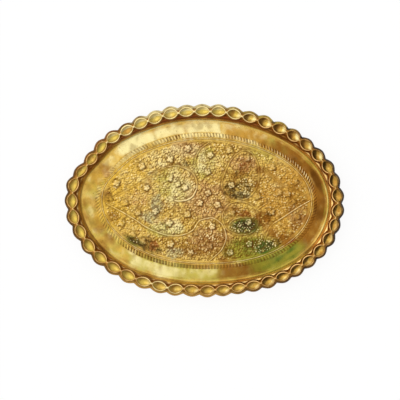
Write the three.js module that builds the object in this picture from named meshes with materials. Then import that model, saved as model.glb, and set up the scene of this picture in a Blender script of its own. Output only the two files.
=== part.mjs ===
// Oval brass serving tray with a border of crimped cups.
//
// The tray lies flat with its long axis along X and +Z up, and the origin is the middle of the underside of
// its floor. Three pieces of metal make it: a pan raised from sheet brass, a border strip rolled into a slit
// tube and pinched into a chain of open cups, and the soft solder that holds the border on the pan's flange.
// Offsets across the rim are measured from the pinch line, the oval on which the two lips of the border meet,
// and are positive outwards.

import * as THREE from "three";

// Overall plan of the tray, in millimetres, measured over the cups.
const OVERALL_LENGTH = 330;
const OVERALL_WIDTH = 229;

// Pan: a flat floor, a cove, a steep wall and a flange turned outwards.
const PAN_SHEET = 0.9; // thickness of the sheet
const WALL_RISE = 9; // top of the floor to the top of the flange
const WALL_SLOPE = THREE.MathUtils.degToRad(72); // from level
const COVE_RADIUS = 3.2; // inside the dish, where the floor turns up
const BEND_RADIUS = 1.2; // under the flange, where the wall turns out
const FLANGE_MARGIN_INNER = 2; // flat flange left bare on the dish side of the solder
const FLANGE_MARGIN_OUTER = 0.6; // flat flange left bare outside the solder

// Raised line chased round the ornamented field of the floor.
const LINE_SETBACK = 31.5; // middle of the line, inside the pinch line
const LINE_FOOT_WIDTH = 1.8;
const LINE_CREST_WIDTH = 0.6;
const LINE_HEIGHT = 0.35;

// Solder between the flange and the border.
const SOLDER_THICKNESS = 0.4;

// Border: a strip rolled to an oval tube with a flat seat, open along its top between the pinches. Each side
// of the section has its own reach from the pinch line at the middle of a cup and at a pinch, an overhang of
// the belly past the lip at the middle of a cup, and a half width of the seat.
const CUP_COUNT = 45;
const STRIP_SHEET = 0.9; // thickness of the strip
const BORDER_HEIGHT = 9.7; // seat to the top of the lips at a pinch
const PINCH_GAP = 0.8; // between the two lips at a pinch
const OUTER_SIDE = { sign: 1, cupReach: 9.1, pinchReach: 5.7, overhang: 2.3, seat: 3 };
const INNER_SIDE = { sign: -1, cupReach: 6.7, pinchReach: 4.2, overhang: 0.7, seat: 2.4 };

// Fineness of the faceted solids.
const RING_SEGMENTS = 96; // round the pan and the solder
const STEPS_PER_CUP = 6; // along the border
const LENGTH_SAMPLES_PER_STEP = 8; // for measuring along the pinch line
const COVE_STEPS = 3;
const BEND_STEPS = 2;

// The pinch line's half axes, and the heights at which the pieces meet.
const PINCH_HALF_LENGTH = OVERALL_LENGTH / 2 - OUTER_SIDE.cupReach;
const PINCH_HALF_WIDTH = OVERALL_WIDTH / 2 - OUTER_SIDE.cupReach;
const FLANGE_TOP = PAN_SHEET + WALL_RISE;
const SEAT_HEIGHT = FLANGE_TOP + SOLDER_THICKNESS;
const BORDER_MIDDLE = SEAT_HEIGHT + BORDER_HEIGHT / 2;

// The flange carries the solder with a margin each side. The wall falls from it to the floor's edge: the cove
// and the bend turn through the slope, and the straight stretch between them makes up the rest of the rise.
const FLANGE_INNER = -(INNER_SIDE.seat + FLANGE_MARGIN_INNER);
const FLANGE_OUTER = OUTER_SIDE.seat + FLANGE_MARGIN_OUTER;
const ARC_RADII = COVE_RADIUS + BEND_RADIUS + PAN_SHEET;
const WALL_STRAIGHT = (WALL_RISE - ARC_RADII * (1 - Math.cos(WALL_SLOPE))) / Math.sin(WALL_SLOPE);
const WALL_RUN = ARC_RADII * Math.sin(WALL_SLOPE) + WALL_STRAIGHT * Math.cos(WALL_SLOPE);
const FLOOR_EDGE = FLANGE_INNER - WALL_RUN;

const panBrass = new THREE.MeshStandardMaterial({ color: 0xb3933f, roughness: 0.42, metalness: 1 });
const borderBrass = new THREE.MeshStandardMaterial({ color: 0x9a7432, roughness: 0.4, metalness: 1 });
const softSolder = new THREE.MeshStandardMaterial({ color: 0x8d8a80, roughness: 0.55, metalness: 1 });

// Moves every vertex of a lathed piece. `place` takes the vertex's share of the full turn and the number of
// its profile point, and gives its new position. The last station repeats the first, so the seam closes.
function reshapeLathe(lathe, place) {
  const { points, segments } = lathe.parameters;
  const position = lathe.attributes.position;
  for (let station = 0; station <= segments; station += 1) {
    const share = (station % segments) / segments;
    points.forEach((_, index) => {
      const { x, y, z } = place(share, index);
      position.setXYZ(station * points.length + index, x, y, z);
    });
  }
  lathe.computeVertexNormals();
  return lathe;
}

// An oval piece from a profile of offsets from the pinch line and heights. It is lathed as a round piece of
// the long half axis, and every ring then loses the same amount across, so that all rings are ovals a
// steady distance apart. A profile point at the middle of the tray stays there.
function ovalLathe(profile) {
  const narrowing = PINCH_HALF_LENGTH - PINCH_HALF_WIDTH;
  const points = profile.map(({ x, y }) => new THREE.Vector2(PINCH_HALF_LENGTH + x, y));
  return reshapeLathe(new THREE.LatheGeometry(points, RING_SEGMENTS), (share, index) => {
    const turn = share * 2 * Math.PI;
    const { x: radius, y: height } = points[index];
    const across = radius > 0 ? radius - narrowing : 0;
    return new THREE.Vector3(radius * Math.cos(turn), across * Math.sin(turn), height);
  });
}

// One face of the pan's sheet from the floor's edge to the rim of the flange, as offsets and heights. `depth`
// is how far the face lies under the top one: 0 for the top and the sheet's thickness for the underside.
function panFace(depth) {
  const level = Math.PI / 2;
  const coveRadius = COVE_RADIUS + depth;
  const coveHeight = PAN_SHEET + COVE_RADIUS;
  const cove = new THREE.EllipseCurve(
    FLOOR_EDGE, coveHeight, coveRadius, coveRadius, -level, WALL_SLOPE - level);
  const bendRadius = BEND_RADIUS + PAN_SHEET - depth;
  const bendHeight = FLANGE_TOP - PAN_SHEET - BEND_RADIUS;
  const bend = new THREE.EllipseCurve(
    FLANGE_INNER, bendHeight, bendRadius, bendRadius, level + WALL_SLOPE, level, true);
  return [
    ...cove.getPoints(COVE_STEPS),
    ...bend.getPoints(BEND_STEPS),
    new THREE.Vector2(FLANGE_OUTER, FLANGE_TOP - depth),
  ];
}

// The raised line's section on the floor, from its outer foot to its inner foot.
function raisedLine() {
  const foot = LINE_FOOT_WIDTH / 2;
  const crest = LINE_CREST_WIDTH / 2;
  return [
    new THREE.Vector2(foot - LINE_SETBACK, PAN_SHEET),
    new THREE.Vector2(crest - LINE_SETBACK, PAN_SHEET + LINE_HEIGHT),
    new THREE.Vector2(-crest - LINE_SETBACK, PAN_SHEET + LINE_HEIGHT),
    new THREE.Vector2(-foot - LINE_SETBACK, PAN_SHEET),
  ];
}

// The whole sheet of the pan: underside from the middle out to the flange, and top face back to the middle.
function panGeometry() {
  const middle = -PINCH_HALF_LENGTH;
  return ovalLathe([
    new THREE.Vector2(middle, 0),
    ...panFace(PAN_SHEET),
    ...panFace(0).reverse(),
    ...raisedLine(),
    new THREE.Vector2(middle, PAN_SHEET),
  ]);
}

// A flat ring of solder, as wide as the border's seat.
function solderGeometry() {
  const corners = [
    new THREE.Vector2(-INNER_SIDE.seat, FLANGE_TOP),
    new THREE.Vector2(OUTER_SIDE.seat, FLANGE_TOP),
    new THREE.Vector2(OUTER_SIDE.seat, SEAT_HEIGHT),
    new THREE.Vector2(-INNER_SIDE.seat, SEAT_HEIGHT),
  ];
  return ovalLathe([...corners, corners[0]]);
}

// The border's section as a closed loop of marks. A turn of 1 is a lip, 0 the widest place of the belly and
// -1 the edge of the flat seat. The outer skin runs from lip to lip under the tube, and the inner skin, one
// thickness of the strip further in, runs back.
function sectionMarks() {
  const outerSkin = (side) => [1, 0.5, 0, -0.5, -1].map((turn) => ({ side, turn, inset: 0 }));
  const innerSkin = (side) => [1, 0.5, 0, -1].map((turn) => ({ side, turn, inset: STRIP_SHEET }));
  const marks = [
    ...outerSkin(INNER_SIDE),
    ...outerSkin(OUTER_SIDE).reverse(),
    ...innerSkin(OUTER_SIDE),
    ...innerSkin(INNER_SIDE).reverse(),
  ];
  return [...marks, marks[0]];
}

// The place of a section mark as an offset and a height. `openness` is 0 at a pinch and 1 at the middle of a
// cup. Above the belly the skin is part of an ellipse that ends at the lip, and below it a quarter of an
// ellipse runs down to the seat.
function sectionPoint({ side, turn, inset }, openness) {
  const reach = THREE.MathUtils.lerp(side.pinchReach, side.cupReach, openness);
  const half = BORDER_HEIGHT / 2 - inset;
  if (turn < 0) {
    const angle = (turn * Math.PI) / 2;
    const offset = side.seat + (reach - inset - side.seat) * Math.cos(angle);
    return new THREE.Vector2(side.sign * offset, BORDER_MIDDLE + half * Math.sin(angle));
  }
  const cupMouth = side.cupReach - STRIP_SHEET - side.overhang;
  const mouth = THREE.MathUtils.lerp(PINCH_GAP / 2, cupMouth, openness);
  const angle = turn * Math.acos(mouth / (reach - STRIP_SHEET));
  const offset = (reach - inset) * Math.cos(angle);
  return new THREE.Vector2(side.sign * offset, BORDER_MIDDLE + half * Math.sin(angle));
}

// The border follows the pinch line in steps of even length, each section square to the line. A pinch stands
// at the +X end of the tray.
function borderGeometry() {
  const steps = CUP_COUNT * STEPS_PER_CUP;
  const pinchLine = new THREE.EllipseCurve(0, 0, PINCH_HALF_LENGTH, PINCH_HALF_WIDTH);
  pinchLine.arcLengthDivisions = steps * LENGTH_SAMPLES_PER_STEP;
  const marks = sectionMarks();
  const openSection = marks.map((mark) => {
    const { x: offset, y: height } = sectionPoint(mark, 1);
    return new THREE.Vector2(PINCH_HALF_LENGTH + offset, height);
  });
  return reshapeLathe(new THREE.LatheGeometry(openSection, steps), (share, index) => {
    const openness = Math.abs(Math.sin(Math.PI * CUP_COUNT * share));
    const { x: offset, y: height } = sectionPoint(marks[index], openness);
    const foot = pinchLine.getPointAt(share);
    const along = pinchLine.getTangentAt(share);
    return new THREE.Vector3(foot.x + along.y * offset, foot.y - along.x * offset, height);
  });
}

function piece(name, geometry, material) {
  const mesh = new THREE.Mesh(geometry, material);
  mesh.name = name;
  return mesh;
}

const tray = new THREE.Group();
tray.add(piece("tray_pan", panGeometry(), panBrass));
tray.add(piece("border_solder", solderGeometry(), softSolder));
tray.add(piece("crimped_border", borderGeometry(), borderBrass));

export default tray;
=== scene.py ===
"""Oval serving tray of aged brass, with a chased floor and a border of crimped cups.

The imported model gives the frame. Four surfaces replace its solids: the chased field of the floor, the pan
round it, the border of cups and the solder seam. All design sizes are millimetres in the tray's own frame,
with X along the tray, Y across it and Z up, and become metres when a mesh is made.
"""

import logging
import math
from dataclasses import dataclass, field
from enum import Enum
from typing import Any, NamedTuple, Union

import bpy
import numpy as np
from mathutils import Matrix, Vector


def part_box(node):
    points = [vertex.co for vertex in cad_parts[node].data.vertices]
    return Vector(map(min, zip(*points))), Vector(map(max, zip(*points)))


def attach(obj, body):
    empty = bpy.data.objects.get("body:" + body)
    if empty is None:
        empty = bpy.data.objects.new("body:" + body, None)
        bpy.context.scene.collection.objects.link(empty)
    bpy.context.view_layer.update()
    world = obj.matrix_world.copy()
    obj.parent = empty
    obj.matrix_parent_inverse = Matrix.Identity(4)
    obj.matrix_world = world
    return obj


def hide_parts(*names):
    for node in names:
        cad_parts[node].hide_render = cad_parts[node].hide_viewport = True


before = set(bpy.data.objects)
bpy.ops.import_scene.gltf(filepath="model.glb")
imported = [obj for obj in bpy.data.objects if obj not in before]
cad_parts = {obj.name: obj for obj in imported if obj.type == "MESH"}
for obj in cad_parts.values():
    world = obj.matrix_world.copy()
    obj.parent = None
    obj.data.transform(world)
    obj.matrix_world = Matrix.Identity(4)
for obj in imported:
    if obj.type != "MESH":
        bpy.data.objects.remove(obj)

LOG = logging.getLogger("oval_tray")
MM = 0.001
ROOT_BODY = "root"
TAU = 2.0 * math.pi
TINY = 1e-6

Array = np.ndarray
Pair = tuple[Array, Array]
Span = tuple[float, float]
SocketValue = Union[bpy.types.NodeSocket, float, tuple]


def linear(hex_colour: str) -> tuple[float, float, float, float]:
    """Turns an sRGB hex colour into linear light.

    Args:
        hex_colour: Six hex digits after a hash sign.

    Returns:
        Red, green, blue and an alpha of one.
    """
    parts = [int(hex_colour[i : i + 2], 16) / 255.0 for i in (1, 3, 5)]
    red, green, blue = [p / 12.92 if p <= 0.04045 else ((p + 0.055) / 1.055) ** 2.4 for p in parts]
    return red, green, blue, 1.0


def smooth_step(low: Union[float, Array], high: Union[float, Array], value: Array) -> Array:
    """Rises smoothly from 0 at low to 1 at high, as three u squared less two u cubed."""
    u = np.clip((value - low) / (high - low), 0.0, 1.0)
    return u * u * (3.0 - 2.0 * u)


def bell(value: Array, middle: float, width: float) -> Array:
    """Falls from 1 at a middle value, as e to minus the square of the distance in widths."""
    return np.exp(-(((value - middle) / width) ** 2))


def ridge(distance: Array, half_width: Union[float, Array]) -> Array:
    """A round ridge: half a cosine, from 1 at its middle to 0 at its half width and past it."""
    return 0.5 + 0.5 * np.cos(np.pi * np.clip(distance / half_width, 0.0, 1.0))


@dataclass(frozen=True)
class Ripple:
    """A smooth uneven field: a mean of plane sine waves with drawn directions, phases and lengths.

    Its height is about its greatest value, and its wavelength in mm the middle one of its waves.
    """

    height: float
    wavelength: float
    seed: int
    waves: int = 9
    spread: Span = (0.7, 1.5)

    def at(self, x: Array, y: Array) -> Array:
        """Works out the field at points.

        Args:
            x: First coordinates, mm.
            y: Second coordinates, mm.

        Returns:
            Values up to about plus or minus the height, with a mean of 0.
        """
        draw = np.random.default_rng(self.seed)
        turn = draw.uniform(0.0, TAU, self.waves)
        phase = draw.uniform(0.0, TAU, self.waves)
        number = TAU / (self.wavelength * draw.uniform(*self.spread, self.waves))
        total = np.zeros_like(x)
        for k in range(self.waves):
            total += np.sin(number[k] * (x * np.cos(turn[k]) + y * np.sin(turn[k])) + phase[k])
        return self.height * total / math.sqrt(self.waves)


def smooth_path(points: tuple[tuple[float, float], ...], closed: bool, step: float) -> Array:
    """Samples a Catmull-Rom curve: a cubic between each two points, level with the chord of their neighbours.

    Args:
        points: Points that the curve goes through, mm.
        closed: Whether the curve joins its ends.
        step: Spacing of the samples, mm.

    Returns:
        Samples as rows of x and y.
    """
    knots = np.asarray(points, float)
    if closed:
        knots = np.vstack([knots[-1], knots, knots[0], knots[1]])
    else:
        knots = np.vstack([2 * knots[0] - knots[1], knots, 2 * knots[-1] - knots[-2]])
    runs = []
    for before, start, end, after in zip(knots[:-3], knots[1:-2], knots[2:-1], knots[3:]):
        count = max(2, int(np.hypot(*(end - start)) / step))
        u = np.linspace(0.0, 1.0, count, endpoint=False)[:, None]
        slope = end - before
        bend = 2 * before - 5 * start + 4 * end - after
        twist = 3 * start - before - 3 * end + after
        runs.append(0.5 * (2 * start + slope * u + bend * u**2 + twist * u**3))
    return np.vstack(runs + [knots[-2][None, :]])


def nearest_on_path(x: Array, y: Array, path: Array, reach: float, batch: int = 8_000_000) -> Pair:
    """Finds how far each point lies from the nearest sample of a path, where that is within reach.

    Args:
        x: Points' x, mm.
        y: Points' y, mm.
        path: Samples of the path, rows of x and y.
        reach: Distance past which a point isn't measured, mm.
        batch: Number of distances that are worked out in one go.

    Returns:
        The distance, or infinity out of reach, and the share of the path where it is nearest.
    """
    distance = np.full(x.shape, np.inf)
    share = np.zeros(x.shape)
    low, high = path.min(0) - reach, path.max(0) + reach
    near = np.flatnonzero((x > low[0]) & (x < high[0]) & (y > low[1]) & (y < high[1]))
    for part in np.array_split(near, max(1, len(near) * len(path) // batch)):
        gaps = np.hypot(x[part, None] - path[None, :, 0], y[part, None] - path[None, :, 1])
        best = gaps.argmin(1)
        distance[part] = gaps[np.arange(len(part)), best]
        share[part] = best / (len(path) - 1)
    distance[distance > reach] = np.inf
    return distance, share


def oval_bump(across: Array, up: Array, turn: float, half_length: float, half_width: float) -> Array:
    """A round bump on an ellipse: one less the squared shares of its half axes, and nothing outside it.

    Args:
        across: Points' x from its middle, mm.
        up: Points' y from its middle, mm.
        turn: Turn of its long axis, radians.
        half_length: Half of its long axis, mm.
        half_width: Half of its short axis, mm.

    Returns:
        Values from 0 at the edge to 1 at the middle.
    """
    along = (across * math.cos(turn) + up * math.sin(turn)) / half_length
    aside = (up * math.cos(turn) - across * math.sin(turn)) / half_width
    return np.clip(1.0 - along**2 - aside**2, 0.0, 1.0)


def add_node(
    tree: bpy.types.NodeTree, kind: str, inputs: dict[Any, SocketValue], **settings: Any
) -> bpy.types.Node:
    """Adds a shader node, sets its properties and fills or links its inputs.

    Args:
        tree: Node tree to add to.
        kind: Node type name without the ShaderNode prefix.
        inputs: Socket name or number to a value, or to the socket that feeds it.
        **settings: Properties of the node.

    Returns:
        The new node.
    """
    node = tree.nodes.new("ShaderNode" + kind)
    for name, value in settings.items():
        setattr(node, name, value)
    for key, value in inputs.items():
        if isinstance(value, bpy.types.NodeSocket):
            tree.links.new(value, node.inputs[key])
        else:
            node.inputs[key].default_value = value
    return node


def blank_material(name: str) -> bpy.types.Material:
    """Makes a material whose node tree is still empty.

    Args:
        name: Material name.

    Returns:
        The material.
    """
    made = bpy.data.materials.new(name)
    made.use_nodes = True
    made.node_tree.nodes.clear()
    return made


def grid_faces(number: Array) -> Array:
    """Quads of a grid of vertex numbers, rows by columns, each going along its row first."""
    corners = [number[:-1, :-1], number[:-1, 1:], number[1:, 1:], number[1:, :-1]]
    return np.stack([corner.ravel() for corner in corners], axis=1)


def loop_faces(rows: int, columns: int) -> Array:
    """Quads of a grid that closes on itself both ways, as rows of four vertex numbers."""
    number = np.arange(rows * columns).reshape(rows, columns)
    return grid_faces(np.pad(number, ((0, 1), (0, 1)), mode="wrap"))


def make_piece(
    name: str, points: Array, faces: list[Array], attributes: dict[str, Array], crease: float
) -> bpy.types.Object:
    """Makes a smooth mesh piece at the origin with one number per vertex for each attribute.

    Args:
        name: Name of the piece.
        points: Vertices, rows of x, y and z in mm.
        faces: Arrays of vertex numbers, each with its own count of corners.
        attributes: Attribute name to one value per vertex.
        crease: Angle between faces past which an edge stays sharp, degrees.

    Returns:
        The object, linked to the scene.
    """
    mesh = bpy.data.meshes.new(name)
    corner_counts = np.concatenate([np.full(len(f), f.shape[1], np.int32) for f in faces])
    starts = np.concatenate([[0], np.cumsum(corner_counts)[:-1]]).astype(np.int32)
    corners = np.concatenate([f.ravel() for f in faces]).astype(np.int32)
    mesh.vertices.add(len(points))
    mesh.vertices.foreach_set("co", (points * MM).astype(np.float32).ravel())
    mesh.loops.add(len(corners))
    mesh.loops.foreach_set("vertex_index", corners)
    mesh.polygons.add(len(corner_counts))
    mesh.polygons.foreach_set("loop_start", starts)
    mesh.update(calc_edges=True)
    mesh.polygons.foreach_set("use_smooth", np.ones(len(corner_counts), bool))
    mesh.set_sharp_from_angle(angle=math.radians(crease))
    for key, values in attributes.items():
        layer = mesh.attributes.new(key, "FLOAT", "POINT")
        layer.data.foreach_set("value", values.astype(np.float32).ravel())
    mesh.validate()
    piece = bpy.data.objects.new(name, mesh)
    bpy.context.scene.collection.objects.link(piece)
    LOG.info("%s: %d vertices, %d faces", name, len(points), len(corner_counts))
    return piece


@dataclass(frozen=True)
class Oval:
    """The tray's plan: the pinch line of the border, and ovals a steady offset from it.

    A hand-raised tray isn't a true ellipse, so the plan swells and draws in by a millimetre or so round the
    rim, with less of it towards the middle, and has one dent.
    """

    half_length: float
    half_width: float
    three_lobe_swell: float = -1.2
    five_lobe_swell: float = -0.75
    five_lobe_turn: float = math.radians(45.0)
    dent_depth: float = 1.9
    dent_turn: float = math.radians(152.0)
    dent_wave: float = math.radians(40.0)
    dent_fade: float = 0.55

    def ring(self, offset: Union[float, Array], turn: Array) -> Pair:
        """Even plan x and y at an offset: each half axis, longer by it, times the turn's cosine or sine."""
        return (self.half_length + offset) * np.cos(turn), (self.half_width + offset) * np.sin(turn)

    def uneven(self, x: Array, y: Array) -> Pair:
        """Adds the hand-made swell along the turn, times the square of the share of the radius.

        The swell is a sine of three times the turn and a cosine of five times the turn, less the dent, which
        is a cosine of the turn that dies away on both sides as a bell.

        Args:
            x: Even plan x, mm.
            y: Even plan y, mm.

        Returns:
            Uneven plan x and y, mm.
        """
        across, up = x / self.half_length, y / self.half_width
        turn = np.arctan2(up, across)
        swell = self.three_lobe_swell * np.sin(3 * turn)
        swell = swell + self.five_lobe_swell * np.cos(5 * turn + self.five_lobe_turn)
        from_dent = ((turn - self.dent_turn + np.pi) % TAU - np.pi) / self.dent_wave
        swell = swell - self.dent_depth * np.cos(TAU * from_dent) * bell(from_dent, 0.0, self.dent_fade)
        weight = swell * (across**2 + up**2)
        return x + weight * np.cos(turn), y + weight * np.sin(turn)

    def even_steps(self, count: int, samples: int = 20000) -> Array:
        """Turns of the pinch line that are even steps along its length, from its +X end.

        Args:
            count: Number of steps round the line.
            samples: Number of chords that the line is measured by.

        Returns:
            The turns, radians.
        """
        turn = np.linspace(0.0, TAU, samples + 1)
        x, y = self.ring(0.0, turn)
        length = np.concatenate([[0.0], np.cumsum(np.hypot(np.diff(x), np.diff(y)))])
        return np.interp(np.arange(count) / count * length[-1], length, turn)


class Tint(Enum):
    """What has become of the brass in a stain. On the rim the dark tints also paint shade, and the pale tint
    painted highlights and reflections.
    """

    GOLD = "gold"
    AMBER = "amber"
    OLIVE = "olive"
    ROSE = "rose"
    PALE = "pale"
    TARNISH_AND_SHADE = "tarnish_and_shade"
    UMBER = "umber"
    MOSS = "moss"
    VERDIGRIS = "verdigris"
    BLOOM = "bloom"
    SOOT_AND_SHADE = "soot_and_shade"
    COPPER_AND_SHADE = "copper_and_shade"


@dataclass(frozen=True)
class Stain:
    """A stain on the floor: an ellipse in mm with soft edges, turned by degrees.

    It is whole up to the second share of its reach, and gone past the first.
    """

    tint: Tint
    x: float
    y: float
    reach_x: float
    reach_y: float
    strength: float
    turn: float = 0.0
    fade: Span = (1.25, 0.35)

    def cover(self, x: Array, y: Array) -> Array:
        """How much of the stain lies at each point: its strength times a smooth fall from middle to edge.

        Args:
            x: Points' x, mm.
            y: Points' y, mm.

        Returns:
            The cover, from 0 to the strength.
        """
        angle = math.radians(self.turn)
        along = (x - self.x) * math.cos(angle) + (y - self.y) * math.sin(angle)
        across = (y - self.y) * math.cos(angle) - (x - self.x) * math.sin(angle)
        return self.strength * smooth_step(*self.fade, np.hypot(along / self.reach_x, across / self.reach_y))


class Zone(Enum):
    """Where on the rim a stain, or a patch of painted light or shade, lies.

    The band is the floor from the line outwards, plain past the strokes, and its foot runs to the cove, a
    thin line at the foot of the wall that is painted pale as a highlight in places. The eaves are the upper
    wall, under the cups, where painted shade lies. In a cup, the dusk and the glint are turned from the light
    and to it and carry painted shade and a painted highlight, and the brow is the side next to the outer lip,
    painted pale as a highlight at the top.
    """

    BAND = "band"
    PLAIN = "plain"
    STROKES = "strokes"
    FOOT = "foot"
    COVE = "cove"
    WALL = "wall"
    EAVES = "eaves"
    LIP = "lip"
    BOWL = "bowl"
    DUSK = "dusk"
    GLINT = "glint"
    BROW = "brow"
    FLANK = "flank"
    CREASE = "crease"


@dataclass(frozen=True)
class RimStainAndLight:
    """A stain, or a patch of painted light or shade, on a zone of the rim: a stretch of the turn, in degrees,
    with ends that fade over a blur.

    An end past 360 lies past the +X end.
    """

    zone: Zone
    tint: Tint
    start: float
    end: float
    start_blur: float
    end_blur: float
    strength: float

    def cover(self, turn: Array) -> Array:
        """How much of the stain lies at each turn: it fades in at its start and out at its end.

        Args:
            turn: Turns round the oval, degrees.

        Returns:
            The cover, from 0 to the strength.
        """
        middle, half = (self.start + self.end) / 2, (self.end - self.start) / 2
        away = (turn - middle + 180.0) % 360.0 - 180.0
        rise = smooth_step(-half - self.start_blur, -half + self.start_blur, away)
        fall = smooth_step(half + self.end_blur, half - self.end_blur, away)
        return self.strength * rise * fall


# Stains of the floor by tint: middle, reach along and across, strength and turn.
FLOOR_STAIN_ROWS = {
    Tint.GOLD: ((-98, 30, 38, 30, 0.95), (-112, -15, 28, 35, 0.7), (-65, 55, 40, 14, 0.65, 20)),
    Tint.AMBER: ((96, 4, 42, 55, 0.85), (86, -24, 26, 18, 0.8), (-83, -67.5, 9, 6, 0.7, -35)),
    Tint.OLIVE: (
        (-40, 20, 26, 30, 0.7), (-46, -33, 28, 11, 0.9), (0, 46, 24, 26, 0.6), (52, -58, 45, 18, 0.8),
        (66, 58, 30, 12, 0.5, -30), (84, 66, 24, 10, 0.7, -33),
    ),
    Tint.ROSE: (
        (-22, 62, 26, 12, 0.8), (2, 2, 36, 34, 0.75), (8, -44, 36, 20, 0.8), (-78, 2, 16, 14, 0.5),
        (46, 46, 22, 16, 0.7), (110, -18, 16, 22, 0.6), (-119, 35, 7, 10, 0.6, 30),
    ),
    Tint.PALE: (
        (88, 22, 14, 9, 0.4), (-85, 75, 14, 7, 0.85, 32), (-88, -59, 10, 5, 0.55, -35),
        (-88, 30, 42, 30, 0.32), (-36, 18, 30, 28, 0.55), (-44, -31, 28, 14, 0.52), (-8, 46, 38, 28, 0.42),
        (-4, 44, 9, 20, 0.64), (-58, 52, 38, 18, 0.52, 22),
    ),
    Tint.TARNISH_AND_SHADE: (
        (61, 26, 10, 15, 0.6), (-123, 40, 6, 9, 0.7, -20), (-71, 83, 4, 9, 0.3, 20),
        (-92, 76, 14, 4, 0.25, 32), (116, -8, 28, 42, 0.56), (93, -43, 26, 13, 0.82, 30),
        (67, -20, 14, 13, 0.9), (44, -10, 20, 8, 0.74), (0, -30, 17, 8, 0.5), (108, -28, 12, 10, 0.75),
        (80, -36, 10, 8, 0.75), (65, 38, 9, 9, 0.68), (117, 32, 10, 9, 0.62), (-119, -53, 17, 9, 0.6, -50),
        (-125, 32, 7, 12, 0.62), (28, -68, 16, 8, 0.8), (121, 14, 9, 15, 0.6), (-117, 6, 10, 11, 0.74),
        (-109, -19, 10, 13, 0.55), (-113, -44, 13, 8, 0.74, -50), (132, 29, 26, 7, 1, 119),
        (5, -52, 60, 20, 0.62), (-70, -52, 34, 14, 0.45), (44, 36, 22, 30, 0.52),
    ),
    Tint.UMBER: (
        (121, -53, 13, 8, 0.64, 40), (63, 77.5, 9, 4, 0.45, -25), (109, 49, 12, 6, 0.56, -45),
        (132, 28, 24, 6, 0.8, 117),
    ),
    Tint.MOSS: ((57, -55, 44, 22, 0.95),),
    Tint.VERDIGRIS: (
        (70, -52, 15, 10, 1, 20), (41, -48, 9, 5, 0.5), (48, -28, 24, 14, 0.9),
        (-84, -46.5, 21, 7, 0.6, -25), (63, -52, 30, 14, 0.58),
    ),
    Tint.BLOOM: (
        (-57, -4, 11, 18, 0.9), (-66, -18, 15, 10, 0.85), (-36, -60, 16, 9, 0.8), (44, 9, 15, 7, 0.7),
        (-62, 32, 14, 10, 0.5),
    ),
    Tint.SOOT_AND_SHADE: (
        (31, 16, 15, 14, 0.68, 40), (47, 18, 15, 11, 0.68), (81, -48, 14, 8, 0.64, 20),
        (42, 9, 17, 8, 0.68), (44, 26, 20, 24, 0.5), (47, -28, 20, 10, 0.65), (-22, 46, 10, 6, 0.65),
        (77, -13, 11, 9, 0.5), (-82, -46.5, 21, 6, 0.62, -25), (-66, -54, 26, 9, 0.66, -22),
        (-114, 7, 7, 7, 0.5), (27, -60, 12, 8, 0.5), (27, -16, 8, 8, 0.5), (-70, -45, 13, 9, 0.56),
    ),
    Tint.COPPER_AND_SHADE: ((44, 44, 16, 14, 0.46), (48, -14, 12, 7, 0.55), (107, -46, 8, 5, 1), (-60, -52, 7, 8, 1)),
}
STAINS = tuple(Stain(tint, *row) for tint, rows in FLOOR_STAIN_ROWS.items() for row in rows)

# Where the punch work of the ground is all pearls.
PEARL_ZONES = (
    Stain(Tint.VERDIGRIS, 48.0, -30.0, 18.0, 8.0, 1.0),
    Stain(Tint.VERDIGRIS, 70.0, -50.0, 16.0, 12.0, 1.0),
    Stain(Tint.SOOT_AND_SHADE, 50.0, 19.0, 12.0, 11.0, 1.0),
    Stain(Tint.SOOT_AND_SHADE, -82.0, -48.0, 14.0, 7.0, 1.0),
)

# Round the ring of strokes: the turn in degrees, how far the strokes are rubbed and how dirty their bed is.
STROKE_CLEARNESS = (
    (0.0, 0.4, 0.6), (25.0, 0.66, 0.8), (70.0, 0.78, 0.8), (90.0, 0.5, 0.7), (120.0, 0.36, 0.9),
    (145.0, 0.3, 0.62), (205.0, 0.2, 0.3), (224.0, 0.18, 1.0), (240.0, 0.18, 1.1), (254.0, 0.3, 0.6),
    (264.0, 0.25, 0.4), (285.0, 0.3, 0.5), (298.0, 0.3, 0.8), (330.0, 0.3, 0.85), (345.0, 0.4, 0.6),
    (360.0, 0.4, 0.6),
)
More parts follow.
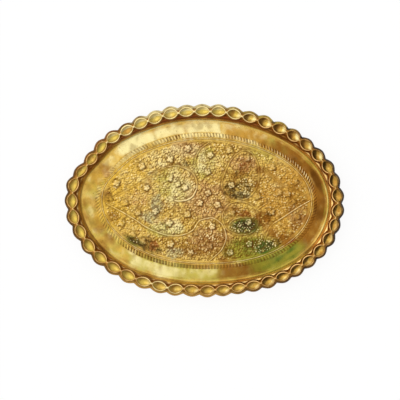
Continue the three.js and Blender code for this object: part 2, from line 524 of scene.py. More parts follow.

# Stains of the rim by zone and tint, and patches of painted light and shade: start and end in degrees, their
# blurs and the strength.
RIM_STAIN_AND_LIGHT_ROWS = {
    (Zone.BAND, Tint.GOLD): ((140, 290, 10, 12, 0.4),),
    (Zone.BAND, Tint.AMBER): ((322, 441, 8, 3, 0.75),),
    (Zone.BAND, Tint.OLIVE): ((160, 232, 12, 12, 0.45), (228, 326, 12, 8, 0.85)),
    (Zone.BAND, Tint.PALE): ((250, 284, 6, 6, 0.18),),
    (Zone.BAND, Tint.TARNISH_AND_SHADE): (
        (148, 216, 4, 8, 0.49), (275, 303, 9, 6, 0.88), (322, 384, 8, 8, 0.85), (382, 420, 6, 12, 0.88),
        (408, 424, 8, 6, 0.6),
    ),
    (Zone.BAND, Tint.UMBER): ((289, 304, 10, 6, 0.8), (342, 366, 8, 8, 0.6), (366, 394, 8, 8, 0.42)),
    (Zone.BAND, Tint.MOSS): ((295, 327, 9, 9, 1),),
    (Zone.BAND, Tint.VERDIGRIS): ((297, 325, 10, 8, 0.62),),
    (Zone.PLAIN, Tint.ROSE): ((84, 112, 6, 6, 0.45),),
    # Pale on the plain band and the strokes at the upper left is rubbed brass and also a painted reflection
    # of bright light.
    (Zone.PLAIN, Tint.PALE): (
        (83, 102, 0.8, 4, 0.66), (100, 118, 4, 5, 0.7), (116, 139, 4, 5, 0.82), (68, 80, 5, 4, 0.3),
        (140, 152, 5, 5, 0.4), (226, 245, 8, 6, 0.46), (244, 261, 6, 6, 0.66),
    ),
    (Zone.PLAIN, Tint.TARNISH_AND_SHADE): ((149, 166, 3, 6, 0.66),),
    (Zone.STROKES, Tint.PALE): ((64, 150, 6, 6, 0.56),),
    (Zone.STROKES, Tint.TARNISH_AND_SHADE): ((258, 300, 8, 6, 0.7), (316, 352, 6, 6, 0.85), (36, 61, 8, 6, 0.5)),
    (Zone.STROKES, Tint.UMBER): ((229, 264, 6, 8, 0.6),),
    (Zone.FOOT, Tint.AMBER): ((160, 300, 8, 15, 0.8),),
    (Zone.FOOT, Tint.TARNISH_AND_SHADE): ((162, 224, 8, 10, 0.45),),
    (Zone.FOOT, Tint.MOSS): ((334, 404, 10, 12, 0.75),),
    # The cove's pale stretches paint a highlight along the foot of the wall; its other tints dull that line.
    (Zone.COVE, Tint.PALE): (
        (226, 286, 10, 10, 0.35), (334, 377, 8, 10, 0.8), (76, 112, 8, 10, 0.7), (106, 134, 8, 3, 1),
    ),
    (Zone.COVE, Tint.TARNISH_AND_SHADE): ((192, 224, 6, 6, 0.85), (238, 268, 6, 8, 0.66), (302, 330, 8, 5, 0.8)),
    (Zone.COVE, Tint.MOSS): ((290, 316, 10, 8, 0.9),),
    (Zone.COVE, Tint.COPPER_AND_SHADE): ((190, 222, 6, 6, 0.6),),
    # The darks of the wall and the eaves are painted shade under the cups, red-brown where copper is laid.
    (Zone.WALL, Tint.TARNISH_AND_SHADE): ((38, 78, 20, 10, 0.95), (194, 276, 10, 8, 0.5), (140, 172, 8, 10, 0.8)),
    (Zone.WALL, Tint.UMBER): ((186, 252, 10, 12, 0.56),),
    (Zone.WALL, Tint.COPPER_AND_SHADE): ((58, 82, 20, 10, 0.6), (186, 262, 12, 15, 0.48), (132, 176, 8, 10, 0.5)),
    (Zone.EAVES, Tint.TARNISH_AND_SHADE): ((68, 142, 10, 10, 1),),
    (Zone.EAVES, Tint.UMBER): ((70, 120, 10, 10, 0.4),),
    (Zone.EAVES, Tint.COPPER_AND_SHADE): ((68, 140, 10, 12, 0.68),),
    (Zone.LIP, Tint.AMBER): ((318, 416, 15, 15, 0.5),),
    # Pale on the lips, the brow and the outer flank at the top is a painted highlight.
    (Zone.LIP, Tint.PALE): ((70, 140, 12, 12, 0.95), (240, 264, 8, 8, 0.7)),
    (Zone.BOWL, Tint.AMBER): ((280, 425, 25, 25, 0.6),),
    (Zone.BOWL, Tint.OLIVE): ((70, 255, 15, 20, 0.75),),
    (Zone.BOWL, Tint.PALE): ((86, 128, 10, 12, 0.34),),
    (Zone.BOWL, Tint.TARNISH_AND_SHADE): ((330, 396, 12, 12, 0.45),),
    (Zone.BOWL, Tint.COPPER_AND_SHADE): ((123, 129, 1.5, 1.5, 0.9), (149, 154, 1.5, 1.5, 0.6)),
    # The dusk is painted shade and the glint a painted highlight, on the sides of each cup turned from the
    # light and to it.
    (Zone.DUSK, Tint.TARNISH_AND_SHADE): ((30, 84, 12, 8, 0.85), (140, 300, 15, 15, 0.5)),
    (Zone.DUSK, Tint.UMBER): ((2, 44, 10, 14, 0.9), (40, 79, 10, 8, 0.6), (290, 368, 15, 8, 0.74)),
    (Zone.GLINT, Tint.OLIVE): ((14, 80, 12, 8, 0.9),),
    (Zone.GLINT, Tint.PALE): ((24, 80, 12, 8, 0.8), (235, 330, 15, 12, 0.54), (325, 365, 12, 8, 0.4)),
    (Zone.BROW, Tint.PALE): ((82, 142, 6, 10, 0.8),),
    # Round the outer flank, the gold at the bottom and the pale at the top are painted light, and the darks,
    # in the creases on the right too, are painted shade.
    (Zone.FLANK, Tint.GOLD): ((225, 288, 15, 15, 0.9),),
    (Zone.FLANK, Tint.OLIVE): ((46, 82, 10, 10, 0.6),),
    (Zone.FLANK, Tint.PALE): ((76, 124, 10, 12, 0.66),),
    (Zone.FLANK, Tint.TARNISH_AND_SHADE): ((128, 168, 8, 10, 0.7),),
    (Zone.FLANK, Tint.UMBER): ((294, 334, 12, 12, 0.58), (150, 215, 15, 15, 0.5)),
    (Zone.FLANK, Tint.SOOT_AND_SHADE): ((328, 402, 14, 14, 0.92),),
    (Zone.CREASE, Tint.SOOT_AND_SHADE): ((312, 424, 15, 14, 0.95),),
}
RIM_STAINS_AND_LIGHT = tuple(RimStainAndLight(*key, *row) for key, rows in RIM_STAIN_AND_LIGHT_ROWS.items() for row in rows)


def stain_and_light_masks(x: Array, y: Array, turn: Array, zones: dict[Zone, Array]) -> dict[str, Array]:
    """Works out the masks at points of the tray: for each tint, the most that any of its stains and patches
    of painted light and shade covers.

    Args:
        x: Points' x, mm.
        y: Points' y, mm.
        turn: Turn round the oval, degrees.
        zones: How much of each rim zone a point belongs to.

    Returns:
        Tint name to cover from 0 to 1.
    """
    covers = {tint.value: np.zeros_like(x) for tint in Tint}
    for stain in STAINS:
        covers[stain.tint.value] = np.maximum(covers[stain.tint.value], stain.cover(x, y))
    for stain in RIM_STAINS_AND_LIGHT:
        if stain.zone in zones:
            cover = stain.cover(turn) * zones[stain.zone]
            covers[stain.tint.value] = np.maximum(covers[stain.tint.value], cover)
    return covers


@dataclass(frozen=True)
class Scroll:
    """A raised tendril of the chasing: a smooth line through points in mm."""

    points: tuple[tuple[float, float], ...]
    half_width: float = 1.0
    height: float = 0.28
    polish: float = 0.55
    closed: bool = False


@dataclass(frozen=True)
class Rosette:
    """A raised flower of the chasing, in mm, and how clear and polished it still is."""

    x: float
    y: float
    radius: float
    polish: float = 1.0


SCROLLS = (
    Scroll(
        (
            (-117, -2.5), (-97, -13), (-81.5, -22), (-69.5, -30), (-54.5, -36.5), (-40, -40),
            (-26, -39), (-14.5, -33.5), (-8.5, -24.5), (-5, -21.5), (3.5, -19), (10.5, -19),
            (20, -25.5), (24.5, -35), (25.5, -43), (22.5, -52.5), (18, -59.5), (6, -70.5),
        ),
        half_width=1.05,
        height=0.4,
        polish=0.85,
    ),
    Scroll(((125.5, 3.5), (112.5, -4), (101, -11.5), (89.5, -19), (80, -25)), half_width=1.15, polish=0.8),
    Scroll(((80, -25), (75.5, -32), (72, -40.5), (67, -53.5)), height=0.3),
    Scroll(
        (
            (20, 20.5), (22.5, 12), (29, 4.5), (37, 2), (47.5, 4), (56, 10), (62, 20),
            (64, 31.5), (62.5, 45.5), (56.5, 57.5), (48.5, 62), (39, 59), (31, 51), (26, 41.5),
            (21.5, 30),
        ),
        polish=0.5,
        closed=True,
    ),
    Scroll(
        (
            (20.8, -18), (23, -9.5), (28, -3), (35, 0.5), (42.5, 1), (51, -0.5), (58, -5),
            (62.5, -12), (64, -19.5), (61, -29.5), (54, -36), (43.5, -38), (33, -36.5),
            (25, -30),
        ),
        closed=True,
    ),
    Scroll(((29, -25.5), (34, -20.5), (42, -18), (50.5, -17.5)), height=0.35),
    Scroll(((-12.5, 45), (-11, 53), (-7, 61), (-2.5, 65.5), (4.5, 70.5))),
    Scroll(((-117, 0), (-93.5, 12.5), (-76, 23), (-64.5, 31.5), (-47, 41)), height=0.12, polish=0.35),
    Scroll(
        ((-47, 41), (-35, 43), (-24.5, 40), (-15, 34.5), (-10, 25), (-10, 15.5)),
        half_width=1.1,
        height=0.4,
        polish=0.6,
    ),
    Scroll(
        ((-10, 15.5), (-14.5, 7), (-21.5, 2.5), (-31, 1), (-36, 2)),
        half_width=1.5,
        height=0.5,
        polish=0.95,
    ),
    Scroll(((-25.5, 24.5), (-21, 21), (-17, 16.5)), height=0.5),
    Scroll(((-36, -5), (-36.5, -8.5), (-35.5, -12)), height=0.5),
    Scroll(((122, 8.5), (104.5, 16), (92.5, 21), (83, 28), (77, 34), (71, 41)), height=0.1, polish=0.3),
    Scroll(((62, -8.5), (68, -4), (74, 0)), height=0.4),
)

ROSETTES = tuple(
    Rosette(*row)
    for row in (
        (-20.5, 63, 4.3), (-42, 51, 4), (5.5, 55.5, 4), (28.5, 62.5, 4.2, 0.7), (-75.5, 42.5, 4.2, 0.9),
        (-105, 22, 4.2, 0.85), (-42.5, 28, 4.1), (-69.5, 16, 3.6), (2.5, 35.5, 3.8), (-24, 17.5, 3.7),
        (-32, 21, 3.2), (31.5, 20.5, 4), (4, 11, 3.8), (49.5, 52.5, 3.6, 0.45), (62, 8, 3.9, 0.65),
        (79.5, 42.5, 4.4, 0.45), (88, 13, 4, 0.5), (98.5, 10.5, 3.2, 0.45), (107.5, 25, 3.6, 0.4),
        (-79.5, -12.5, 3.9, 0.65), (-58, -11.5, 4), (-98.5, -25.5, 4.2, 0.65), (-73, -47.5, 4.3, 0.4),
        (-40, -49.5, 4.3, 0.9), (-41.5, -25, 4), (-94.5, -2, 3.8, 0.55), (-86, -39.5, 4, 0.5),
        (-113, 4, 3.6, 0.3), (-49.5, -29.5, 3.6, 0.75), (-6.5, -1, 4), (14.5, -2.5, 4),
        (-21, -14.5, 4, 0.8), (8.5, -29, 4.1), (-16.5, -60.5, 4, 0.7), (6, -52, 4, 0.6),
        (31.5, -11, 4.2, 0.55), (30, -59.5, 4.2, 0.75), (-10.5, -37.5, 2.6, 0.5), (51.5, -23, 4.2, 0.95),
        (53, -48.5, 3.9, 0.85), (78.5, -11, 4.2, 0.6), (104.5, 2, 3.4, 0.35), (109.5, -16.5, 3.6, 0.3),
    )
)


@dataclass(frozen=True)
class ColourLayer:
    """One colour of the patina or of painted light or shade, laid over those below it.

    Its share is the gain times a smooth step, from low to high, of the cover plus uneven noise.
    The cover is one of the piece's masks, or a half all over where the layer names none.
    """

    colour: str
    gain: float
    cover: str = ""
    grain_mm: float = 12.0
    uneven: float = 1.5
    low: float = 0.3
    high: float = 0.75


@dataclass(frozen=True)
class PunchMark:
    """Dots of one punch over the matted ground, one round each point of a jittered grid.

    A dot's share falls smoothly from the flat share of its half width to its edge. Noise in patches leaves
    out the dots where it is under the first of the two kept levels.
    """

    colour: str
    gain: float
    pitch_mm: float
    half_width_mm: float
    jitter: float = 0.8
    flat: float = 0.4
    patch_mm: float = 3.68
    patch_detail: float = 2.0
    kept: Span = (0.415, 0.515)


@dataclass(frozen=True)
class AgedBrass:
    """Yellow brass sheet, raised and chased by hand, then handled and polished for decades.

    The eye sees a satin gold that goes lemon pale where it is rubbed, brown in the hollows, and green or
    black where it stayed damp. Some layers paint light instead: brown painted shade under the cups and on the
    wall, and pale painted highlights and reflections. Real scratches are a tenth as wide as those here and
    too fine to show, so they are drawn coarser.
    """

    body: str
    layers: tuple[ColourLayer, ...]
    marks: tuple[PunchMark, ...] = ()
    top_layers: tuple[ColourLayer, ...] = ()
    layer_step: float = 1.7
    layer_detail: float = 4.0
    roughness: float = 0.36
    rough_swing: float = 0.09
    rough_mm: float = 6.0
    rough_detail: float = 4.0
    rough_span: Span = (0.3, 0.7)
    pit_mm: float = 1.5
    pit_detail: float = 3.0
    pit_strength: float = 0.15
    pit_depth_mm: float = 0.3
    scratch_mm: float = 0.5
    scratch_detail: float = 2.0
    scratch_strength: float = 0.1
    scratch_depth_mm: float = 0.1
    mark_strength: float = 0.5
    mark_depth_mm: float = 0.2
    dull_cover: str = ""
    dull_rough: float = 0.2
    dull_metal: float = 0.8

    def lay(
        self, tree: bpy.types.NodeTree, place: SocketValue, shade: SocketValue, layer: ColourLayer
    ) -> SocketValue:
        """Lays one layer over a shade.

        Args:
            tree: The material's node tree.
            place: Socket of the place on the piece.
            shade: The shade so far.
            layer: The layer.

        Returns:
            The new shade's socket.
        """
        seed = self.layer_step * (self.layers + self.top_layers).index(layer)
        scale = 1.0 / (layer.grain_mm * MM)
        grain = {"Vector": place, "Scale": scale, "W": seed, "Detail": self.layer_detail}
        noise = add_node(tree, "TexNoise", grain, noise_dimensions="4D").outputs["Fac"]
        cover: SocketValue = 0.5
        if layer.cover:
            cover = add_node(tree, "Attribute", {}, attribute_name=layer.cover).outputs["Fac"]
        swing = add_node(tree, "Math", {0: noise, 1: -0.5}, operation="ADD").outputs[0]
        terms = {0: swing, 1: layer.uneven, 2: cover}
        edge = add_node(tree, "Math", terms, operation="MULTIPLY_ADD").outputs[0]
        span = {"Value": edge, "From Min": layer.low, "From Max": layer.high, "To Max": layer.gain}
        share = add_node(tree, "MapRange", span, interpolation_type="SMOOTHSTEP").outputs[0]
        mix = {"Factor": share, 6: shade, 7: linear(layer.colour)}
        return add_node(tree, "Mix", mix, data_type="RGBA").outputs[2]

    def punch(self, tree: bpy.types.NodeTree, place: SocketValue, mark: PunchMark) -> SocketValue:
        """Works out how much of one punch's dots lies at each place of the matted ground.

        Args:
            tree: The material's node tree.
            place: Socket of the place on the piece.
            mark: The punch's dots.

        Returns:
            The share's socket, from 0 to 1.
        """
        cells = {"Vector": place, "Scale": 1.0 / (mark.pitch_mm * MM), "Randomness": mark.jitter}
        away = add_node(tree, "TexVoronoi", cells, voronoi_dimensions="2D").outputs["Distance"]
        half = mark.half_width_mm / mark.pitch_mm
        span = {"Value": away, "From Min": half, "From Max": mark.flat * half}
        dot = add_node(tree, "MapRange", span, interpolation_type="SMOOTHSTEP").outputs[0]
        patch = {"Vector": place, "Scale": 1.0 / (mark.patch_mm * MM), "Detail": mark.patch_detail}
        noise = add_node(tree, "TexNoise", patch).outputs["Fac"]
        span = {"Value": noise, "From Min": mark.kept[0], "From Max": mark.kept[1]}
        kept = add_node(tree, "MapRange", span, interpolation_type="SMOOTHSTEP").outputs[0]
        ground = add_node(tree, "Attribute", {}, attribute_name="matted").outputs["Fac"]
        part = add_node(tree, "Math", {0: dot, 1: kept}, operation="MULTIPLY").outputs[0]
        return add_node(tree, "Math", {0: part, 1: ground}, operation="MULTIPLY").outputs[0]

    def gloss(self, tree: bpy.types.NodeTree, place: SocketValue) -> tuple[SocketValue, SocketValue]:
        """Works out a cloudy roughness, rougher and less metallic where the brass has gone dull.

        Args:
            tree: The material's node tree.
            place: Socket of the place on the piece.

        Returns:
            The roughness and the metallic share, as sockets or a number.
        """
        cloud = {"Vector": place, "Scale": 1.0 / (self.rough_mm * MM), "Detail": self.rough_detail}
        span = {"Value": add_node(tree, "TexNoise", cloud).outputs["Fac"]}
        span.update({"From Min": self.rough_span[0], "From Max": self.rough_span[1]})
        span["To Min"] = self.roughness - self.rough_swing
        span["To Max"] = self.roughness + self.rough_swing
        rough = add_node(tree, "MapRange", span).outputs[0]
        if not self.dull_cover:
            return rough, 1.0
        dull = add_node(tree, "Attribute", {}, attribute_name=self.dull_cover).outputs["Fac"]
        terms = {0: dull, 1: self.dull_rough, 2: rough}
        rough = add_node(tree, "Math", terms, operation="MULTIPLY_ADD").outputs[0]
        span = {"Value": dull, "To Min": 1.0, "To Max": self.dull_metal}
        return rough, add_node(tree, "MapRange", span).outputs[0]

    def grain(self, tree: bpy.types.NodeTree, place: SocketValue, dents: SocketValue) -> SocketValue:
        """Bumps the surface with pits, scratches and the dents of the punches, where there are any.

        Args:
            tree: The material's node tree.
            place: Socket of the place on the piece.
            dents: Height of the punches' dents, in depths of a mark.

        Returns:
            The normal's socket.
        """
        pit = {"Vector": place, "Scale": 1.0 / (self.pit_mm * MM), "Detail": self.pit_detail}
        relief = {"Height": add_node(tree, "TexNoise", pit).outputs["Fac"], "Strength": self.pit_strength}
        relief["Distance"] = self.pit_depth_mm * MM
        normal = add_node(tree, "Bump", relief).outputs["Normal"]
        scratch = {"Vector": place, "Scale": 1.0 / (self.scratch_mm * MM), "Detail": self.scratch_detail}
        lines = add_node(tree, "TexNoise", scratch).outputs["Fac"]
        relief = {"Height": lines, "Strength": self.scratch_strength}
        relief.update({"Distance": self.scratch_depth_mm * MM, "Normal": normal})
        normal = add_node(tree, "Bump", relief).outputs["Normal"]
        if not self.marks:
            return normal
        relief = {"Height": dents, "Strength": self.mark_strength, "Normal": normal}
        relief["Distance"] = self.mark_depth_mm * MM
        return add_node(tree, "Bump", relief).outputs["Normal"]

    def material(self, name: str) -> bpy.types.Material:
        """Builds the finish from its layers, the piece's masks and noise of real sizes.

        Args:
            name: Material name.

        Returns:
            The material.
        """
        made = blank_material(name)
        tree = made.node_tree
        place = add_node(tree, "TexCoord", {}).outputs["Object"]
        shade: SocketValue = linear(self.body)
        for layer in self.layers:
            shade = self.lay(tree, place, shade, layer)
        dents: SocketValue = 0.0
        for mark in self.marks:
            share = self.punch(tree, place, mark)
            part = add_node(tree, "Math", {0: share, 1: mark.gain}, operation="MULTIPLY").outputs[0]
            mix = {"Factor": part, 6: shade, 7: linear(mark.colour)}
            shade = add_node(tree, "Mix", mix, data_type="RGBA").outputs[2]
            dents = add_node(tree, "Math", {0: dents, 1: share}, operation="SUBTRACT").outputs[0]
        for layer in self.top_layers:
            shade = self.lay(tree, place, shade, layer)
        rough, metal = self.gloss(tree, place)
        surface = {"Base Color": shade, "Roughness": rough, "Metallic": metal}
        surface["Normal"] = self.grain(tree, place, dents)
        shader = add_node(tree, "BsdfPrincipled", surface).outputs[0]
        add_node(tree, "OutputMaterial", {"Surface": shader})
        return made


PAN_FINISH = AgedBrass(
    body="#cda74b",
    layers=(
        ColourLayer("#dcba66", 0.7, grain_mm=18.0),
        ColourLayer("#a8763c", 0.45, grain_mm=9.0, low=0.5),
        ColourLayer("#d8ae42", 0.85, Tint.GOLD.value, grain_mm=14.0, low=0.2, high=0.85),
        ColourLayer("#bd8c38", 0.85, Tint.AMBER.value, grain_mm=14.0, low=0.2, high=0.85),
        ColourLayer("#b6ac50", 0.8, Tint.OLIVE.value, low=0.2, high=0.85),
        ColourLayer("#c0945f", 0.75, Tint.ROSE.value, grain_mm=8.0, low=0.2, high=0.85),
        ColourLayer("#f1e3a3", 0.92, Tint.PALE.value, grain_mm=16.0, low=0.2, high=0.85),
        # The wall's bright warm tint is painted light, the glow of light bounced onto it off the brass.
        ColourLayer("#ffd384", 0.95, "wall", grain_mm=10.0, uneven=1.0),
        # Painted shade on the upper wall under the cups.
        ColourLayer("#4c260a", 0.78, "painted_shade", grain_mm=8.0, uneven=1.0, low=0.25, high=0.95),
        ColourLayer("#f2e2a4", 0.38, "mottle", grain_mm=7.0, uneven=1.2, low=0.5, high=1.15),
        ColourLayer("#8a6828", 0.42, "mottle", grain_mm=9.0, uneven=1.2, low=0.55, high=-0.1),
        ColourLayer("#845218", 0.9, Tint.TARNISH_AND_SHADE.value, grain_mm=14.0, uneven=1.2, low=0.2, high=0.95),
        ColourLayer("#4e2d0c", 0.85, Tint.UMBER.value, grain_mm=16.0, uneven=0.8, low=0.2, high=1.0),
        ColourLayer("#8c3f1e", 0.7, Tint.COPPER_AND_SHADE.value, grain_mm=5.0, low=0.35),
        ColourLayer("#9c9f7c", 0.65, Tint.BLOOM.value, grain_mm=7.0, low=0.2, high=0.9),
        ColourLayer("#8b8428", 0.88, Tint.MOSS.value, grain_mm=16.0, uneven=0.7, low=0.2, high=0.9),
        ColourLayer("#3d5d1a", 0.92, Tint.VERDIGRIS.value, grain_mm=9.0, uneven=0.75, low=0.2, high=0.9),
        ColourLayer("#e4c668", 0.5, "matted", grain_mm=5.0, low=1.03, high=1.25),
        # The ground's dark is patina in the hollows, and painted shadow on the lee of the seeds and rosettes.
        ColourLayer("#5e3302", 0.92, "ground", grain_mm=4.0, uneven=1.2, low=0.2, high=0.95),
        ColourLayer("#2e210c", 0.88, Tint.SOOT_AND_SHADE.value, grain_mm=5.0, low=0.35, high=0.9),
    ),
    marks=(PunchMark("#6a3c04", 0.5, pitch_mm=2.3, half_width_mm=0.8),),
    top_layers=(
        ColourLayer("#eed8a0", 0.9, "crest", grain_mm=3.5, uneven=1.0, low=0.35, high=0.95),
        ColourLayer("#68420e", 0.45, grain_mm=2.2, low=0.66, high=0.85),
    ),
    dull_cover=Tint.VERDIGRIS.value,
)

BORDER_FINISH = AgedBrass(
    body="#b07a30",
    layers=(
        ColourLayer("#a87c36", 1.0, "bowl", grain_mm=9.0, uneven=0.5),
        ColourLayer("#c8a44a", 0.9, "hollow", grain_mm=5.0, uneven=1.2, low=0.15, high=0.95),
        ColourLayer("#6e5620", 0.5, "bowl", grain_mm=2.6, uneven=1.6, low=1.08, high=1.35),
        ColourLayer("#e2cc84", 0.45, "hollow", grain_mm=3.4, uneven=1.8, low=0.95, high=1.35),
        # The dark of the outer flank is a painted reflection of dark surroundings.
        ColourLayer("#664617", 0.9, "outer", grain_mm=8.0, uneven=0.8),
        ColourLayer("#8a4c1c", 0.75, "inner", grain_mm=8.0, uneven=0.8),
        ColourLayer("#9c6a2a", 0.4, grain_mm=8.0, low=0.5),
        ColourLayer("#5b3a14", 0.45, "pinch", grain_mm=3.0, uneven=0.8, low=0.6, high=1.2),
        ColourLayer("#eac17c", 0.85, "lip", grain_mm=5.0, uneven=1.3, low=0.25, high=1.0),
        ColourLayer("#b98c40", 0.8, Tint.GOLD.value, grain_mm=9.0, high=0.9),
        ColourLayer("#cdb452", 0.8, Tint.OLIVE.value, grain_mm=6.0, uneven=1.2, low=0.2, high=0.95),
        ColourLayer("#a8662e", 0.55, Tint.COPPER_AND_SHADE.value, grain_mm=5.0, low=0.25, high=0.9),
        ColourLayer("#9a6424", 0.75, Tint.AMBER.value, grain_mm=5.0, uneven=1.2, high=0.95),
        ColourLayer("#f0dd9c", 0.88, Tint.PALE.value, grain_mm=7.0, uneven=1.0, low=0.25, high=0.9),
        ColourLayer("#8f5a22", 0.75, Tint.TARNISH_AND_SHADE.value, grain_mm=6.0, low=0.25, high=0.9),
        ColourLayer("#311d08", 0.88, Tint.UMBER.value, grain_mm=4.0, uneven=0.9, low=0.2, high=0.95),
        ColourLayer("#261809", 0.9, Tint.SOOT_AND_SHADE.value, grain_mm=6.0, uneven=0.8, low=0.2, high=0.8),
        ColourLayer("#4a3015", 0.35, grain_mm=2.0, low=0.66, high=0.85),
    ),
    roughness=0.33,
)


@dataclass(frozen=True)
class SoftSolder:
    """Soft tin solder, wiped while hot: the eye sees a dull grey with a fine grain."""

    light: str = "#8f8c82"
    dark: str = "#4d4a42"
    roughness: float = 0.55
    grain_mm: float = 0.9
    grain_detail: float = 3.0
    grain_strength: float = 0.3
    grain_depth_mm: float = 0.3

    def material(self, name: str) -> bpy.types.Material:
        """Builds the finish: a grey that varies with a fine grain.

        Args:
            name: Material name.

        Returns:
            The material.
        """
        made = blank_material(name)
        tree = made.node_tree
        place = add_node(tree, "TexCoord", {}).outputs["Object"]
        cloud = {"Vector": place, "Scale": 1.0 / (self.grain_mm * MM), "Detail": self.grain_detail}
        grain = add_node(tree, "TexNoise", cloud).outputs["Fac"]
        mix = {"Factor": grain, 6: linear(self.dark), 7: linear(self.light)}
        shade = add_node(tree, "Mix", mix, data_type="RGBA").outputs[2]
        relief = {"Height": grain, "Strength": self.grain_strength, "Distance": self.grain_depth_mm * MM}
        normal = add_node(tree, "Bump", relief).outputs["Normal"]
        surface = {"Base Color": shade, "Roughness": self.roughness, "Metallic": 1.0, "Normal": normal}
        shader = add_node(tree, "BsdfPrincipled", surface).outputs[0]
        add_node(tree, "OutputMaterial", {"Surface": shader})
        return made


def dress_piece(piece: bpy.types.Object, made: bpy.types.Material, node: str) -> None:
    """Gives a piece its finish and its place in the frame.

    Args:
        piece: The piece.
        made: Its material.
        node: The CAD node that it stands for.
    """
    piece.data.materials.append(made)
    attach(piece, ROOT_BODY)
    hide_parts(node)
    LOG.info("%s stands for %s", piece.name, node)


class Relief(NamedTuple):
    """Relief at each point: its height in mm, and how much of it is rubbed crest, ground with dirt and
    painted shadow, and figure.
    """

    height: Array
    crest: Array
    ground: Array
    figure: Array


@dataclass(frozen=True)
class RosetteCut:
    """How the rosettes are cut. Heights, gaps, widths and the reach are mm, and the rest are shares."""

    height: float = 0.85
    spread: float = 1.2
    petals: tuple[int, int] = (4, 5)
    notch: float = 0.42
    notch_swing: Span = (0.75, 1.3)
    lopsided: float = 0.1
    shoulder: Span = (1.0, 0.7)
    crease_width: Span = (0.6, 0.2)
    crease_length: Span = (0.2, 0.55)
    crease_share: float = 0.65
    arc_radius: float = 0.42
    arc_width: float = 0.42
    arc_side: Span = (-0.3, 0.5)
    arc_depth: float = 0.35
    arc_dirt: float = 0.8
    outline_gap: float = 0.45
    outline_width: float = 0.75
    outline_depth: float = 0.24
    outline_lee: float = 0.35
    halo_gap: float = 0.9
    halo_width: float = 1.3
    halo_shade: float = 0.9
    lee_turn: float = math.radians(-40.0)
    reach: float = 3.6
    least_rub: float = 0.28
    polish_rub: float = 0.45
    dullness: float = 0.5


